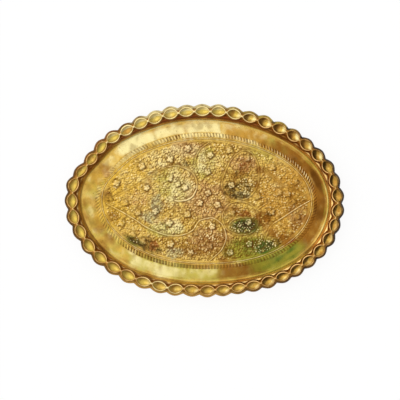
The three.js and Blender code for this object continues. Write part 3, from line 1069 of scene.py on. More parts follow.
@dataclass
class ChasedOrnament:
    """The chasing inside the raised line: tendrils and rosettes over a matted ground of small seeds.

    Sizes are mm, and wear, dirt and the like are shares. The lee side of each seed carries a painted shadow.
    """

    ground_depth: float = 0.24
    matting: tuple[Ripple, ...] = (Ripple(0.035, 2.1, 7), Ripple(0.04, 9.0, 8))
    full_height: float = 0.28
    groove_depth: float = 0.16
    groove_gap: float = 0.2
    groove_width: float = 0.55
    groove_dirt: float = 0.75
    tendril_end: float = 0.6
    tendril_taper: float = 0.12
    tendril_clear: float = 2.3
    path_step: float = 0.4
    rosette_cut: RosetteCut = RosetteCut()
    rosette_clear: float = 1.3
    seed_pitch: float = 2.95
    seed_jitter: float = 1.0
    seed_swirl: Ripple = Ripple(1.4, 45.0, 5)
    seed_scatter: float = 1.0
    seed_length: float = 1.55
    seed_width: float = 1.1
    seed_height: float = 0.24
    seed_fullness: float = 0.7
    seed_size: Span = (0.7, 1.25)
    seed_wear: Span = (0.35, 0.85)
    seed_reach: float = 2.6
    seed_lee: tuple[float, float] = (0.8, -0.75)
    lee_edge: Span = (0.75, 0.15)
    gap_edge: Span = (0.5, 0.0)
    gap_dirt: float = 0.6
    damp_tints: tuple[Tint, ...] = (Tint.SOOT_AND_SHADE, Tint.VERDIGRIS, Tint.MOSS)
    damp_dimming: float = 0.5
    pearl_radius: float = 1.1
    pearl_share: float = 0.25
    pearl_wear: float = 0.9
    pearl_cover: float = 0.3
    end_calm: float = 0.18
    end_span: Span = (30.0, 100.0)
    crest_ground_cut: float = 0.7
    draw_seed: int = 41
    paths: list[Array] = field(default_factory=list)

    def __post_init__(self) -> None:
        """Samples the tendrils once."""
        self.paths = [smooth_path(s.points, s.closed, self.path_step) for s in SCROLLS]

    def clear_of_figures(self, x: Array, y: Array) -> Array:
        """Tells which points keep their distance from every tendril's middle and rosette's petals.

        Args:
            x: Points' x, mm.
            y: Points' y, mm.

        Returns:
            True where a point is clear.
        """
        clear = np.ones(x.shape, bool)
        for path in self.paths:
            clear &= nearest_on_path(x, y, path, self.tendril_clear)[0] > self.tendril_clear
        for rosette in ROSETTES:
            clear &= np.hypot(x - rosette.x, y - rosette.y) > rosette.radius + self.rosette_clear
        return clear

    def seed_places(self, half_length: float, half_width: float, middle: tuple[float, float]) -> Array:
        """Strews seeds over the ground on a jittered grid of staggered rows, clear of the figures.

        Args:
            half_length: Half length of the oval that holds them, mm.
            half_width: Half width of that oval, mm.
            middle: Middle of that oval, mm.

        Returns:
            Seeds as rows of x, y and turn.
        """
        draw = np.random.default_rng(self.draw_seed)
        columns = np.arange(-half_length, half_length, self.seed_pitch)
        rows = np.arange(-half_width, half_width, self.seed_pitch * math.sqrt(3) / 2)
        x, y = np.meshgrid(columns, rows)
        x = x + (np.arange(len(rows)) % 2)[:, None] * self.seed_pitch / 2
        x = (x + draw.uniform(-self.seed_jitter, self.seed_jitter, x.shape)).ravel()
        y = (y + draw.uniform(-self.seed_jitter, self.seed_jitter, y.shape)).ravel()
        keep = (x / half_length) ** 2 + (y / half_width) ** 2 < 1.0
        x, y = x[keep] + middle[0], y[keep] + middle[1]
        keep = self.clear_of_figures(x, y)
        x, y = x[keep], y[keep]
        turn = self.seed_swirl.at(x, y) + draw.normal(0.0, self.seed_scatter, x.shape)
        return np.column_stack([x, y, turn])

    def tendrils(self, x: Array, y: Array) -> Relief:
        """Raised tendrils: a round ridge along each line, thinner at open ends, with a fine groove each side.

        Args:
            x: Points' x, mm.
            y: Points' y, mm.

        Returns:
            Their relief alone.
        """
        height, crest, ground = np.zeros_like(x), np.zeros_like(x), np.zeros_like(x)
        for scroll, path in zip(SCROLLS, self.paths):
            distance, share = nearest_on_path(x, y, path, scroll.half_width + 3 * self.groove_width)
            near = np.isfinite(distance)
            taper = np.ones(near.sum())
            if not scroll.closed:
                grown = smooth_step(0.0, self.tendril_taper, np.minimum(share[near], 1 - share[near]))
                taper = self.tendril_end + (1.0 - self.tendril_end) * grown
            width = scroll.half_width * taper
            profile = ridge(distance[near], width)
            sunk = min(1.0, scroll.height / self.full_height)
            groove = sunk * bell(distance[near] - width, self.groove_gap, self.groove_width)
            risen = np.maximum(height[near], scroll.height * taper * profile)
            height[near] = risen - self.groove_depth * groove
            crest[near] = np.maximum(crest[near], scroll.polish * profile)
            ground[near] = np.maximum(ground[near], self.groove_dirt * groove)
        return Relief(height, crest, ground, np.maximum(crest, ground))

    def rosettes(self, x: Array, y: Array) -> Relief:
        """Raised rosettes: a flat top whose edge swings in and out by petals, with cuts in it and round it.

        The edge draws in with the root of the cosine of half the petals times the turn. Top, creases, arc,
        outline and halo are smooth steps and bells of the distance from the middle or from the edge.

        Args:
            x: Points' x, mm.
            y: Points' y, mm.

        Returns:
            Their relief alone.
        """
        cut = self.rosette_cut
        height, crest, ground = np.zeros_like(x), np.zeros_like(x), np.zeros_like(x)
        draw = np.random.default_rng(self.draw_seed + 1)
        for rosette in ROSETTES:
            first = draw.uniform(0.0, TAU)
            petals = draw.integers(cut.petals[0], cut.petals[1] + 1)
            notch = cut.notch * draw.uniform(*cut.notch_swing)
            lopsided = draw.uniform(0.0, TAU)
            near = np.hypot(x - rosette.x, y - rosette.y) < rosette.radius + cut.reach
            across, up = x[near] - rosette.x, y[near] - rosette.y
            out, turn = np.hypot(across, up), np.arctan2(up, across) - first
            petal = np.sqrt(np.abs(np.cos(petals / 2 * turn)))
            edge = cut.spread * rosette.radius * (1.0 - notch * (1.0 - petal))
            edge = edge * (1.0 + cut.lopsided * np.cos(turn - lopsided))
            top = smooth_step(*cut.shoulder, out / edge)
            crease = smooth_step(*cut.crease_width, petal) * smooth_step(*cut.crease_length, out / edge)
            arc = bell(out, cut.arc_radius * rosette.radius, cut.arc_width)
            arc = np.maximum(arc * smooth_step(*cut.arc_side, np.cos(turn)), cut.crease_share * crease)
            outline = bell(out - edge, cut.outline_gap, cut.outline_width)
            # The halo is painted shadow on each rosette's lee side, and the outline's dark, dirt in its
            # groove, is deeper there as painted shadow.
            lee = 0.5 + 0.5 * np.cos(turn + first - cut.lee_turn)
            halo = lee * bell(out - edge, cut.halo_gap, cut.halo_width)
            clear = 0.5 + 0.5 * rosette.polish
            height[near] += cut.height * clear * (top - cut.arc_depth * arc) - cut.outline_depth * outline
            rubbed = cut.least_rub + cut.polish_rub * rosette.polish
            crest[near] = np.maximum(crest[near], rubbed * top * (1.0 - cut.arc_dirt * arc))
            dirt = [ground[near], cut.arc_dirt * arc, cut.halo_shade * halo]
            dirt.append(cut.dullness * (1.0 - rosette.polish) * top)
            dirt.append(clear * outline * (1.0 - cut.outline_lee * (1.0 - lee)))
            ground[near] = np.maximum.reduce(dirt)
        return Relief(height, crest, ground, np.maximum(crest, ground))

    def seeds(self, x: Array, y: Array, places: Array) -> Relief:
        """Small raised leaves, and round pearls by drawn lot or where the punch work is all pearls.

        Each is a round bump on an ellipse, raised to a power that makes it fuller. Dirt lies in the gaps
        between them, and a painted shadow where a copy of each bump that is shifted to its lee comes out from
        under it.
        Seeds in damp stains are rubbed less.

        Args:
            x: Points' x, mm.
            y: Points' y, mm.
            places: Rows of x, y and turn.

        Returns:
            Their relief alone.
        """
        height, crest, cover, shadow = (np.zeros_like(x) for _ in range(4))
        draw = np.random.default_rng(self.draw_seed + 2)
        order = np.argsort(x, kind="stable")
        sorted_x = x[order]
        at_x, at_y = places[:, 0], places[:, 1]
        pearled = np.max([zone.cover(at_x, at_y) for zone in PEARL_ZONES], axis=0) > self.pearl_cover
        damp = [stain for stain in STAINS if stain.tint in self.damp_tints]
        dimness = self.damp_dimming * np.max([stain.cover(at_x, at_y) for stain in damp], axis=0)
        for (place_x, place_y, turn), in_pearls, dim in zip(places, pearled, dimness):
            size = draw.uniform(*self.seed_size)
            wear = draw.uniform(*self.seed_wear) * (1.0 - dim)
            pearl = draw.uniform() < self.pearl_share or in_pearls
            long, wide = (self.pearl_radius,) * 2 if pearl else (self.seed_length, self.seed_width)
            first, last = np.searchsorted(sorted_x, [place_x - self.seed_reach, place_x + self.seed_reach])
            near = order[first:last]
            near = near[np.abs(y[near] - place_y) < self.seed_reach]
            across, up = x[near] - place_x, y[near] - place_y
            shape = (turn, long * size, wide * size)
            dome = oval_bump(across, up, *shape) ** self.seed_fullness
            # The copy shifted to the lee gives each seed a painted shadow.
            shifted = oval_bump(across - self.seed_lee[0], up - self.seed_lee[1], *shape)
            shadow[near] = np.maximum(shadow[near], np.sqrt(shifted))
            height[near] = np.maximum(height[near], self.seed_height * size * dome)
            crest[near] = np.maximum(crest[near], dome * (self.pearl_wear if in_pearls else wear))
            cover[near] = np.maximum(cover[near], dome)
        gaps = self.gap_dirt * smooth_step(*self.gap_edge, cover)
        ground = np.maximum(shadow * smooth_step(*self.lee_edge, cover), gaps)
        return Relief(height, crest, ground, cover)

    def relief(self, x: Array, y: Array, inside: Array, places: Array) -> Relief:
        """The whole relief of the field: the figures, raised from a sunk ground of seeds and matting.

        The ground is calmer towards the tray's ends, and crests lose part of the ground's dirt and painted
        shadow.

        Args:
            x: Points' x, mm.
            y: Points' y, mm.
            inside: 0 at the field's edge, 1 where the ground is at full depth.
            places: The seeds' places.

        Returns:
            The relief over the plain floor.
        """
        tendrils = self.tendrils(x, y)
        rosettes = self.rosettes(x, y)
        seeds = self.seeds(x, y, places)
        matting = sum(wave.at(x, y) for wave in self.matting)
        raised = np.maximum(tendrils.crest, rosettes.crest)
        height = (seeds.height - self.ground_depth + matting) * inside + tendrils.height + rosettes.height
        calm = 1.0 - self.end_calm * smooth_step(*self.end_span, np.abs(x))
        ground = np.maximum.reduce([tendrils.ground, rosettes.ground, calm * seeds.ground * inside])
        ground = ground * (1.0 - self.crest_ground_cut * raised)
        figure = np.maximum(tendrils.figure, rosettes.figure)
        return Relief(height, np.maximum(raised, seeds.crest), ground, figure)


@dataclass
class CrimpedBorder:
    """The border: a slit tube of strip, pinched at even steps, whose lips meet at each pinch.

    Sizes are mm. A reach is given at a pinch and at the middle of a cup.
    """

    oval: Oval
    seat_height: float
    top_height: float
    cup_count: int = 45
    steps_per_cup: int = 30
    strip: float = 0.9
    pinch_gap: float = 0.8
    outer_reach: Span = (5.7, 9.1)
    inner_reach: Span = (4.2, 6.7)
    outer_overhang: float = 2.3
    inner_overhang: float = 0.7
    outer_seat: float = 3.0
    inner_seat: float = 2.4
    upper_rows: tuple[float, ...] = (1.0, 0.93, 0.83, 0.72, 0.6, 0.48, 0.36, 0.24, 0.12, 0.0)
    lower_rows: tuple[float, ...] = (-0.12, -0.25, -0.4, -0.55, -0.7, -0.85, -1.0)
    flank: float = 0.6
    lip_rows: int = 4
    lip_width: float = 1.6
    lip_swell: float = 1.1
    dish_rows: int = 19
    dish_fullness: float = 2.0
    dish_opening: float = 1.5
    cup_depth: float = 2.2
    pinch_depth: float = 0.15
    mouth_fullness: float = 0.62
    mouth_shut: float = 0.2
    cup_tilt: float = 0.09
    cup_width: Span = (0.84, 1.05)
    spacing_shift: float = -0.114
    spacing_waves: tuple[tuple[int, float, float], ...] = ((1, 0.244, 90.5), (2, 0.122, 16.4))
    sway: float = 0.45 / 1.7
    sway_waves: tuple[int, ...] = (11, 17, 23)
    bob: float = 0.25 / 1.7
    bob_waves: tuple[int, ...] = (9, 14, 31)
    lean: float = 1.4
    lean_turn: float = math.radians(8.0)
    light_turn: float = math.radians(-20.0)
    dusk_span: Span = (0.25, -0.35)
    glint_span: Span = (0.05, 0.6)
    brow_span: Span = (-0.1, -0.5)
    hollow_power: int = 4
    mouth_clear: Span = (0.0, 0.25)
    outer_span: Span = (1.0, 5.0)
    inner_span: Span = (-2.0, -4.5)
    crease_span: Span = (0.35, 0.8)
    lip_bowl: float = 0.5
    lip_flank: float = 0.6
    skin_lip_power: int = 7
    dish_lip_power: int = 9
    outer_lip_share: float = 0.6
    sharp_crease: float = 70.0
    draw_seed: int = 9

    @property
    def skin_rows(self) -> Array:
        """Rows of a skin, as 1 at the lip, 0 at the belly and -1 at the seat."""
        return np.array(self.upper_rows + self.lower_rows)

    @property
    def dish_slice(self) -> slice:
        """The section's rows that are the inside of a cup."""
        first = 2 * len(self.skin_rows) + self.lip_rows
        return slice(first, first + self.dish_rows)

    def hand_spacing(self, around: Array) -> Array:
        """How far cups run ahead of even steps, in cups: a steady part and cosines once and twice round."""
        waves = [size * np.cos(n * (around - math.radians(turn))) for n, size, turn in self.spacing_waves]
        return sum(waves, self.spacing_shift)

    def wander(self, draw: np.random.Generator, around: Array, waves: tuple[int, ...]) -> Array:
        """Sums sines that go a whole number of waves round the rim, each with a drawn phase."""
        phases = draw.uniform(0.0, TAU, len(waves))
        return np.sin(np.outer(waves, around) + phases[:, None]).sum(axis=0)

    def mouth_share(self, openness: Array) -> Array:
        """How far a mouth is open: shut near a pinch, where the lips lie together, then rounding up to 1."""
        opening = (openness - self.mouth_shut) / (1.0 - self.mouth_shut)
        return np.clip(opening, 0.0, None) ** self.mouth_fullness

    def inner_edge(self, turn: Array) -> Array:
        """How far the border reaches inwards over the pan at a turn, mm.

        Args:
            turn: Turns round the oval, radians.

        Returns:
            The reach, from the pinches' to the cups'.
        """
        count = self.cup_count * self.steps_per_cup
        steps = np.append(self.oval.even_steps(count), TAU)
        share = np.interp(turn % TAU, steps, np.arange(count + 1) / count)
        openness = np.abs(np.sin(np.pi * (share * self.cup_count + self.hand_spacing(share * TAU))))
        return self.inner_reach[0] + (self.inner_reach[1] - self.inner_reach[0]) * openness

    def skin(self, outside: bool, inset: float, turns: Array, openness: Array) -> Pair:
        """One skin of one side of the section, as in the solids.

        Above the belly it is part of an ellipse, drawn straighter by the flank's share, that ends at the lip.
        Below it a quarter of an ellipse runs down to the flat seat.

        Args:
            outside: True for the side away from the dish.
            inset: Depth under the outer skin, mm.
            turns: 1 at the lip, 0 at the belly and -1 at the seat, one per row.
            openness: 0 at a pinch and 1 at the middle of a cup, one per column.

        Returns:
            Offsets and heights, rows by columns.
        """
        pinch, cup = self.outer_reach if outside else self.inner_reach
        overhang = self.outer_overhang if outside else self.inner_overhang
        seat = self.outer_seat if outside else self.inner_seat
        reach = pinch + (cup - pinch) * openness[None, :]
        half = (self.top_height - self.seat_height) / 2 - inset
        centre = (self.top_height + self.seat_height) / 2
        opening = self.mouth_share(openness)[None, :]
        mouth = self.pinch_gap / 2 + (cup - self.strip - overhang - self.pinch_gap / 2) * opening
        lip = np.arccos(np.clip(mouth / (reach - self.strip), 0.0, 1.0))
        turn = turns[:, None]
        angle = np.where(turn >= 0, turn * lip, turn * np.pi / 2)
        rise = np.sin(angle) / np.maximum(np.sin(lip), TINY)
        straight = reach - inset - (reach - inset) * (1.0 - np.cos(lip)) * np.clip(rise, 0.0, 1.0)
        upper = (1.0 - self.flank) * (reach - inset) * np.cos(angle) + self.flank * straight
        lower = seat + (reach - inset - seat) * np.cos(angle)
        offset = np.where(turn >= 0, upper, lower)
        return (offset if outside else -offset), centre + half * np.sin(angle)

    def lip(self, start: Pair, end: Pair) -> Pair:
        """Rounds a lip: a half circle from the end of one skin to the start of the next, a little swollen.

        Args:
            start: Offset and height of the first skin's lip, one per column.
            end: Offset and height of the second skin's lip.

        Returns:
            Offsets and heights of the rows between the two, without them.
        """
        half_x, half_z = (start[0] - end[0]) / 2, (start[1] - end[1]) / 2
        turn = np.linspace(0.0, np.pi, self.lip_rows + 2)[1:-1, None]
        swell = 1.0 + (self.lip_swell - 1.0) * np.sin(turn)
        x = (start[0] + end[0]) / 2 + swell * (half_x * np.cos(turn) - half_z * np.sin(turn))
        z = (start[1] + end[1]) / 2 + swell * (half_z * np.cos(turn) + half_x * np.sin(turn))
        return x, z

    def dish(self, outer: Pair, inner: Pair, openness: Array) -> Pair:
        """The boat-shaped inside of the cups, from the outer lip across to the inner one.

        It hangs under the straight line between the lips by a depth that grows with the openness, times one
        less the share of the way from the middle to a lip, raised to a power that sets how full the bowl is.

        Args:
            outer: Offset and height of the outer lip's inner edge, one per column.
            inner: Offset and height of the inner lip's inner edge.
            openness: 0 at a pinch and 1 at the middle of a cup, one per column.

        Returns:
            Offsets and heights, rows by columns.
        """
        across = np.linspace(1.0, -1.0, self.dish_rows)[:, None]
        share = (1.0 + across) / 2
        opened = self.mouth_share(openness) ** self.dish_opening
        depth = self.pinch_depth + (self.cup_depth - self.pinch_depth) * opened
        hang = depth * (1.0 - np.abs(across) ** self.dish_fullness)
        return outer[0] * share + inner[0] * (1 - share), outer[1] * share + inner[1] * (1 - share) - hang

    def section(self, openness: Array) -> Pair:
        """The closed section: inner skin down, outer skin up, outer lip, inside of the cup and inner lip.

        Args:
            openness: 0 at a pinch and 1 at the middle of a cup, one per column.

        Returns:
            Offsets and heights, rows by columns.
        """
        inner_skin = self.skin(False, 0.0, self.skin_rows, openness)
        outer_skin = self.skin(True, 0.0, self.skin_rows[::-1], openness)
        mouth = np.array([1.0])
        outer_edge = tuple(part[0] for part in self.skin(True, self.lip_width, mouth, openness))
        inner_edge = tuple(part[0] for part in self.skin(False, self.lip_width, mouth, openness))
        outer_lip = self.lip((outer_skin[0][-1], outer_skin[1][-1]), outer_edge)
        inner_lip = self.lip(inner_edge, (inner_skin[0][0], inner_skin[1][0]))
        runs = [inner_skin, outer_skin, outer_lip, self.dish(outer_edge, inner_edge, openness), inner_lip]
        return np.vstack([run[0] for run in runs]), np.vstack([run[1] for run in runs])

    def row_shares(self) -> Pair:
        """How much of each row of the section is lip, as powers of the nearness to it, and how much is bowl.

        Returns:
            The lip's and the bowl's shares, as columns.
        """
        near_lip = np.maximum(self.skin_rows, 0.0) ** self.skin_lip_power
        across = np.linspace(-1.0, 1.0, self.dish_rows)
        dish_lip = np.abs(across) ** self.dish_lip_power * np.where(across < 0, self.outer_lip_share, 1.0)
        outer_lip, inner_lip = np.full(self.lip_rows, self.outer_lip_share), np.ones(self.lip_rows)
        lip = [near_lip, self.outer_lip_share * near_lip[::-1], outer_lip, dish_lip, inner_lip]
        no_bowl, half_bowl = np.zeros(2 * len(near_lip)), np.full(self.lip_rows, self.lip_bowl)
        bowl = [no_bowl, half_bowl, np.ones(self.dish_rows), half_bowl]
        return np.concatenate(lip)[:, None], np.concatenate(bowl)[:, None]

    def in_dish(self, share: Array, blank: Array) -> Array:
        """Lays shares of a cup's inside over a blank of the section's rows, with nothing outside the cup."""
        ends = (self.dish_slice.start, len(blank) - self.dish_slice.stop)
        return np.pad(np.broadcast_to(share, (self.dish_rows, blank.shape[1])), (ends, (0, 0)))

    def build(self) -> bpy.types.Object:
        """Makes the border: the section carried along the pinch line, opening and closing with each cup.

        The openness is the size of the sine of half the turn of each cup. Cups differ a little in width,
        place and height, as hand-pinched ones do, and the border leans out on one side.

        Returns:
            The border's piece.
        """
        count = self.cup_count * self.steps_per_cup
        turns = self.oval.even_steps(count)
        around = np.arange(count) / count * TAU
        phase = np.arange(count) / self.steps_per_cup + self.hand_spacing(around)
        draw = np.random.default_rng(self.draw_seed)
        cup = np.floor(phase).astype(int) % self.cup_count
        openness = np.abs(np.sin(np.pi * phase)) * draw.uniform(*self.cup_width, self.cup_count)[cup]
        sway = self.sway * self.wander(draw, around, self.sway_waves)
        bob = self.bob * self.wander(draw, around, self.bob_waves)
        offset, height = self.section(openness)
        above = np.clip((height - self.seat_height) / (self.top_height - self.seat_height), 0.0, 1.0)
        foot_x, foot_y = self.oval.ring(0.0, turns)
        normal_x, normal_y = self.oval.half_width * np.cos(turns), self.oval.half_length * np.sin(turns)
        steepness = np.hypot(normal_x, normal_y)
        normal_x, normal_y = normal_x / steepness, normal_y / steepness
        lean = self.lean * np.clip(np.cos(turns - self.lean_turn), 0.0, 1.0) ** 2
        out = offset + sway * np.sqrt(above) + lean * above**2
        x, y = self.oval.uneven(foot_x + normal_x * out, foot_y + normal_y * out)
        height = height + (bob - self.cup_tilt * offset) * above
        points = np.stack([x, y, height], axis=-1).reshape(-1, 3)

        blank = np.zeros_like(offset)
        mouth_open = smooth_step(*self.mouth_clear, self.mouth_share(openness))
        lip_share, bowl_share = self.row_shares()
        bowl = bowl_share * mouth_open
        lip = np.maximum(lip_share + blank, self.in_dish(1.0 - mouth_open, blank))
        outer = smooth_step(*self.outer_span, offset) * (1.0 - bowl)
        inner = smooth_step(*self.inner_span, offset) * (1.0 - bowl)
        pinch = 1.0 - np.clip(openness, 0.0, 1.0) + blank
        across = np.linspace(-1.0, 1.0, self.dish_rows)[:, None]
        hollow = self.in_dish((1.0 - across**self.hollow_power) * mouth_open, blank)
        masks = {"lip": lip, "bowl": bowl, "hollow": hollow, "pinch": pinch, "outer": outer, "inner": inner}

        # Painted light: lit is how far a point of a cup lies towards the light, and sets where the dusk's
        # painted shade and the glint's painted highlight lie.
        along = 2.0 * (phase - np.floor(phase)) - 1.0
        light_x, light_y = math.cos(self.light_turn), math.sin(self.light_turn)
        lit = along * (normal_x * light_y - normal_y * light_x)
        lit = lit - across * (normal_x * light_x + normal_y * light_y)
        on_lip = np.clip(2.0 * lip, 0.0, 1.0)
        zones = {
            Zone.LIP: on_lip,
            Zone.BOWL: bowl * (1.0 - on_lip),
            Zone.DUSK: self.in_dish(smooth_step(*self.dusk_span, lit) * mouth_open, blank),
            Zone.GLINT: self.in_dish(smooth_step(*self.glint_span, lit) * mouth_open, blank),
            Zone.BROW: self.in_dish(smooth_step(*self.brow_span, across) * mouth_open, blank),
            Zone.FLANK: outer * (1.0 - on_lip) + self.lip_flank * on_lip * (offset > 0.0),
            Zone.CREASE: outer * smooth_step(*self.crease_span, pinch),
        }
        masks.update(stain_and_light_masks(x, y, np.degrees(turns) + blank, zones))
        faces = loop_faces(len(offset), count)
        return make_piece("cup_border", points, [faces], masks, self.sharp_crease)

    def dress(self) -> None:
        """Builds the border and gives it its darker brass."""
        dress_piece(self.build(), BORDER_FINISH.material("border_brass"), "crimped_border")


@dataclass
class TrayPan:
    """The raised sheet of the pan: chased field, ring of strokes, plain band, cove, wall and flange.

    Offsets are mm outwards from the pinch line, most of them inwards and so negative. A span of offsets or of
    heights over the floor is where a zone or a mask starts and where it is whole.
    """

    oval: Oval
    flange_top: float
    sheet: float = 0.9
    floor_top: float = 0.9
    flange_outer: float = 3.6
    flange_inner: float = -4.4
    rim_round: float = 0.2
    wall_slope: float = math.radians(72.0)
    cove_radius: float = 3.2
    bend_radius: float = 1.2
    under_offset: float = -22.0
    floor_rows: tuple[int, ...] = (11, 14, 7)
    top_rows: tuple[int, int] = (6, 5)
    under_rows: tuple[int, int] = (5, 4)
    line_offset: float = -31.5
    line_half_width: float = 0.9
    line_height: float = 0.38
    line_end: float = -30.2
    line_wear: float = 0.7
    line_groove_gap: float = 0.3
    line_groove_width: float = 0.45
    line_groove_depth: float = 0.14
    line_dirt: float = 0.6
    faint_line_offset: float = -29.3
    faint_line_width: float = 0.5
    faint_line_height: float = 0.06
    faint_line_wear: float = 0.1
    stroke_offset: float = -26.9
    stroke_half_length: float = 2.3
    stroke_width: float = 0.38
    stroke_height: float = 0.36
    stroke_end: float = -22.6
    stroke_wear: float = 0.9
    stroke_count: int = 180
    steps_per_stroke: int = 9
    slant: float = math.radians(22.0)
    slant_swing: float = math.radians(20.0)
    slant_turn: float = math.radians(25.0)
    bed_edge: Span = (3.0, 2.2)
    bed_depth: float = 0.12
    bed_dirt: float = 0.75
    relief_end: float = -11.5
    edge_fade: float = 0.5
    hammering: Ripple = Ripple(0.05, 16.0, 21)
    rubbing: Ripple = Ripple(0.2, 38.0, 33)
    clouds: tuple[Ripple, ...] = (Ripple(0.3, 26.0, 51), Ripple(0.21, 9.0, 52))
    underside: float = -0.3
    wall_span: Span = (0.1, 3.2)
    eaves_span: Span = (0.8, 4.0)
    cove_start: float = -13.0
    cove_height: float = 0.45
    cove_width: float = 0.4
    band_span: Span = (-31.0, -28.0)
    plain_span: Span = (-25.0, -22.8)
    foot_span: Span = (-17.0, -11.0)
    foot_mean: float = 0.55
    foot_patches: Ripple = Ripple(0.55, 16.0, 61)
    painted_shade_reach: Span = (-2.0, 0.4)
    painted_shade_span: Span = (0.6, 3.0)
    lit_side_fade: float = 0.6
    lit_side_turn: float = math.radians(-18.0)
    run_mean: float = 0.75
    run_stretch: float = 0.12
    run_patches: Ripple = Ripple(0.35, 7.0, 53)
    field_edge: float = -33.2
    field_shift: tuple[float, float] = (2.5, 0.5)
    shift_span: Span = (-13.0, -29.0)
    field_steps: int = 300
    field_rings: tuple[float, ...] = (1.0, 0.66, 0.33)
    ground_fade: Span = (1.0, 0.97)
    relief_fade: Span = (1.0, 0.985)
    seed_margin: float = 2.2
    sharp_crease: float = 65.0
    ornament: ChasedOrnament = field(default_factory=ChasedOrnament)

    def ring(self, offset: Array, turn: Array) -> Pair:
        """Plan of an oval at an offset, with all of the field's shift at the line and none at the cove."""
        share = smooth_step(*self.shift_span, offset)
        return tuple(p + share * s for p, s in zip(self.oval.ring(offset, turn), self.field_shift))

    def build_field(self) -> bpy.types.Object:
        """Makes the chased field as a closed plate.

        The top is a square grid bent to an oval: each square ring of the grid becomes an oval, with the turn
        going evenly round it, so that all cells have the same area. Its height is the chased relief. The
        underside is three flat ovals and a middle point.

        Returns:
            The field's piece.
        """
        steps = self.field_steps
        a, b = np.meshgrid(np.linspace(-1, 1, steps + 1), np.linspace(-1, 1, steps + 1), indexing="ij")
        wide = np.abs(a) >= np.abs(b)
        radius = np.where(wide, a, b)
        safe = np.where(radius == 0, 1.0, radius)
        turn = np.where(wide, np.pi / 4 * b / safe, np.pi / 2 - np.pi / 4 * a / safe)
        half_length = self.oval.half_length + self.field_edge
        half_width = self.oval.half_width + self.field_edge
        x = (half_length * radius * np.cos(turn)).ravel() + self.field_shift[0]
        y = (half_width * radius * np.sin(turn)).ravel() + self.field_shift[1]
        out = np.abs(radius).ravel()
        inside = smooth_step(*self.ground_fade, out)
        margin = self.seed_margin
        places = self.ornament.seed_places(half_length - margin, half_width - margin, self.field_shift)
        relief = self.ornament.relief(x, y, inside, places)
        plan_x, plan_y = self.oval.uneven(x, y)
        height = self.floor_top + relief.height * smooth_step(*self.relief_fade, out)
        top = np.column_stack([plan_x, plan_y, height])

        number = np.arange(len(top)).reshape(steps + 1, steps + 1)
        edge = np.concatenate([number[-1, :-1], number[:0:-1, -1], number[0, :0:-1], number[:-1, 0]])
        middle = np.array([self.field_shift])
        rings = [middle + (top[edge, :2] - middle) * share for share in self.field_rings]
        under_plan = np.vstack(rings + [middle])
        under = np.column_stack([under_plan, np.zeros(len(under_plan))])
        here = np.arange(len(edge))
        after = (here + 1) % len(edge)
        starts = len(top) + np.arange(len(rings)) * len(edge)
        side = np.stack([edge[here], starts[0] + here, starts[0] + after, edge[after]], axis=1)
        faces = [grid_faces(number.T), side]
        for outer, inner in zip(starts[:-1], starts[1:]):
            faces.append(np.stack([outer + here, inner + here, inner + after, outer + after], axis=1))
        hub = np.full(len(edge), starts[-1] + len(edge))
        faces.append(np.stack([starts[-1] + here, hub, starts[-1] + after], axis=1))
        points = np.vstack([top, under])

        masks = {"crest": relief.crest, "ground": relief.ground}
        masks["matted"] = inside * (1.0 - np.clip(relief.figure, 0.0, 1.0))
        masks.update(stain_and_light_masks(x, y, np.zeros_like(x), {}))
        attributes = {name: np.append(mask, np.zeros(len(under))) for name, mask in masks.items()}
        attributes.update({"wall": np.zeros(len(points)), "painted_shade": np.zeros(len(points))})
        attributes["mottle"] = np.full(len(points), 0.5)
        return make_piece("chased_field", points, faces, attributes, self.sharp_crease)

    def wall_face(self, floor_edge: float, depth: float, rows: tuple[int, int]) -> Pair:
        """One face of the wall: the cove's arc and the bend's arc, with the straight wall between them.

        Args:
            floor_edge: Offset where the cove starts, mm.
            depth: Depth under the top face, mm.
            rows: Number of points on the cove and on the bend.

        Returns:
            Offsets and heights.
        """
        rise_turn = np.linspace(0, self.wall_slope, rows[0])
        cove = self.cove_radius + depth
        cove_x = floor_edge + cove * np.sin(rise_turn)
        cove_z = self.floor_top + self.cove_radius - cove * np.cos(rise_turn)
        fall_turn = np.linspace(self.wall_slope, 0, rows[1])
        bend = self.bend_radius + self.sheet - depth
        bend_x = self.flange_inner - bend * np.sin(fall_turn)
        bend_z = self.flange_top - self.sheet - self.bend_radius + bend * np.cos(fall_turn)
        return np.append(cove_x, bend_x), np.append(cove_z, bend_z)

    def section(self) -> Pair:
        """The pan's section outside the field as a closed loop of offsets and heights, in mm.

        From the field's edge it runs out over the line, the strokes and the band, up the cove arc, the
        straight wall and the bend arc to the flange, round its edge and back along the underside.

        Returns:
            Offsets and heights.
        """
        arcs = self.cove_radius + self.bend_radius + self.sheet
        rise = self.flange_top - self.floor_top
        straight = (rise - arcs * (1 - math.cos(self.wall_slope))) / math.sin(self.wall_slope)
        run = arcs * math.sin(self.wall_slope) + straight * math.cos(self.wall_slope)
        floor_edge = self.flange_inner - run
        stops = (self.field_edge, self.line_end, self.stroke_end, floor_edge)
        spans = zip(stops[:-1], stops[1:], self.floor_rows)
        floor = np.concatenate([np.linspace(start, end, rows, endpoint=False) for start, end, rows in spans])
        top_x, top_z = self.wall_face(floor_edge, 0.0, self.top_rows)
        low_x, low_z = self.wall_face(floor_edge, self.sheet, self.under_rows)
        rim = self.flange_outer - self.rim_round * np.array([1.0, 0.0, 0.0, 1.0])
        rim_z = self.flange_top - np.array([0.0, self.rim_round, self.sheet - self.rim_round, self.sheet])
        offsets = np.concatenate([floor, top_x, rim, low_x[::-1], [self.under_offset, self.field_edge]])
        floor_z = np.full(len(floor), self.floor_top)
        return offsets, np.concatenate([floor_z, top_z, rim_z, low_z[::-1], [0.0, 0.0]])

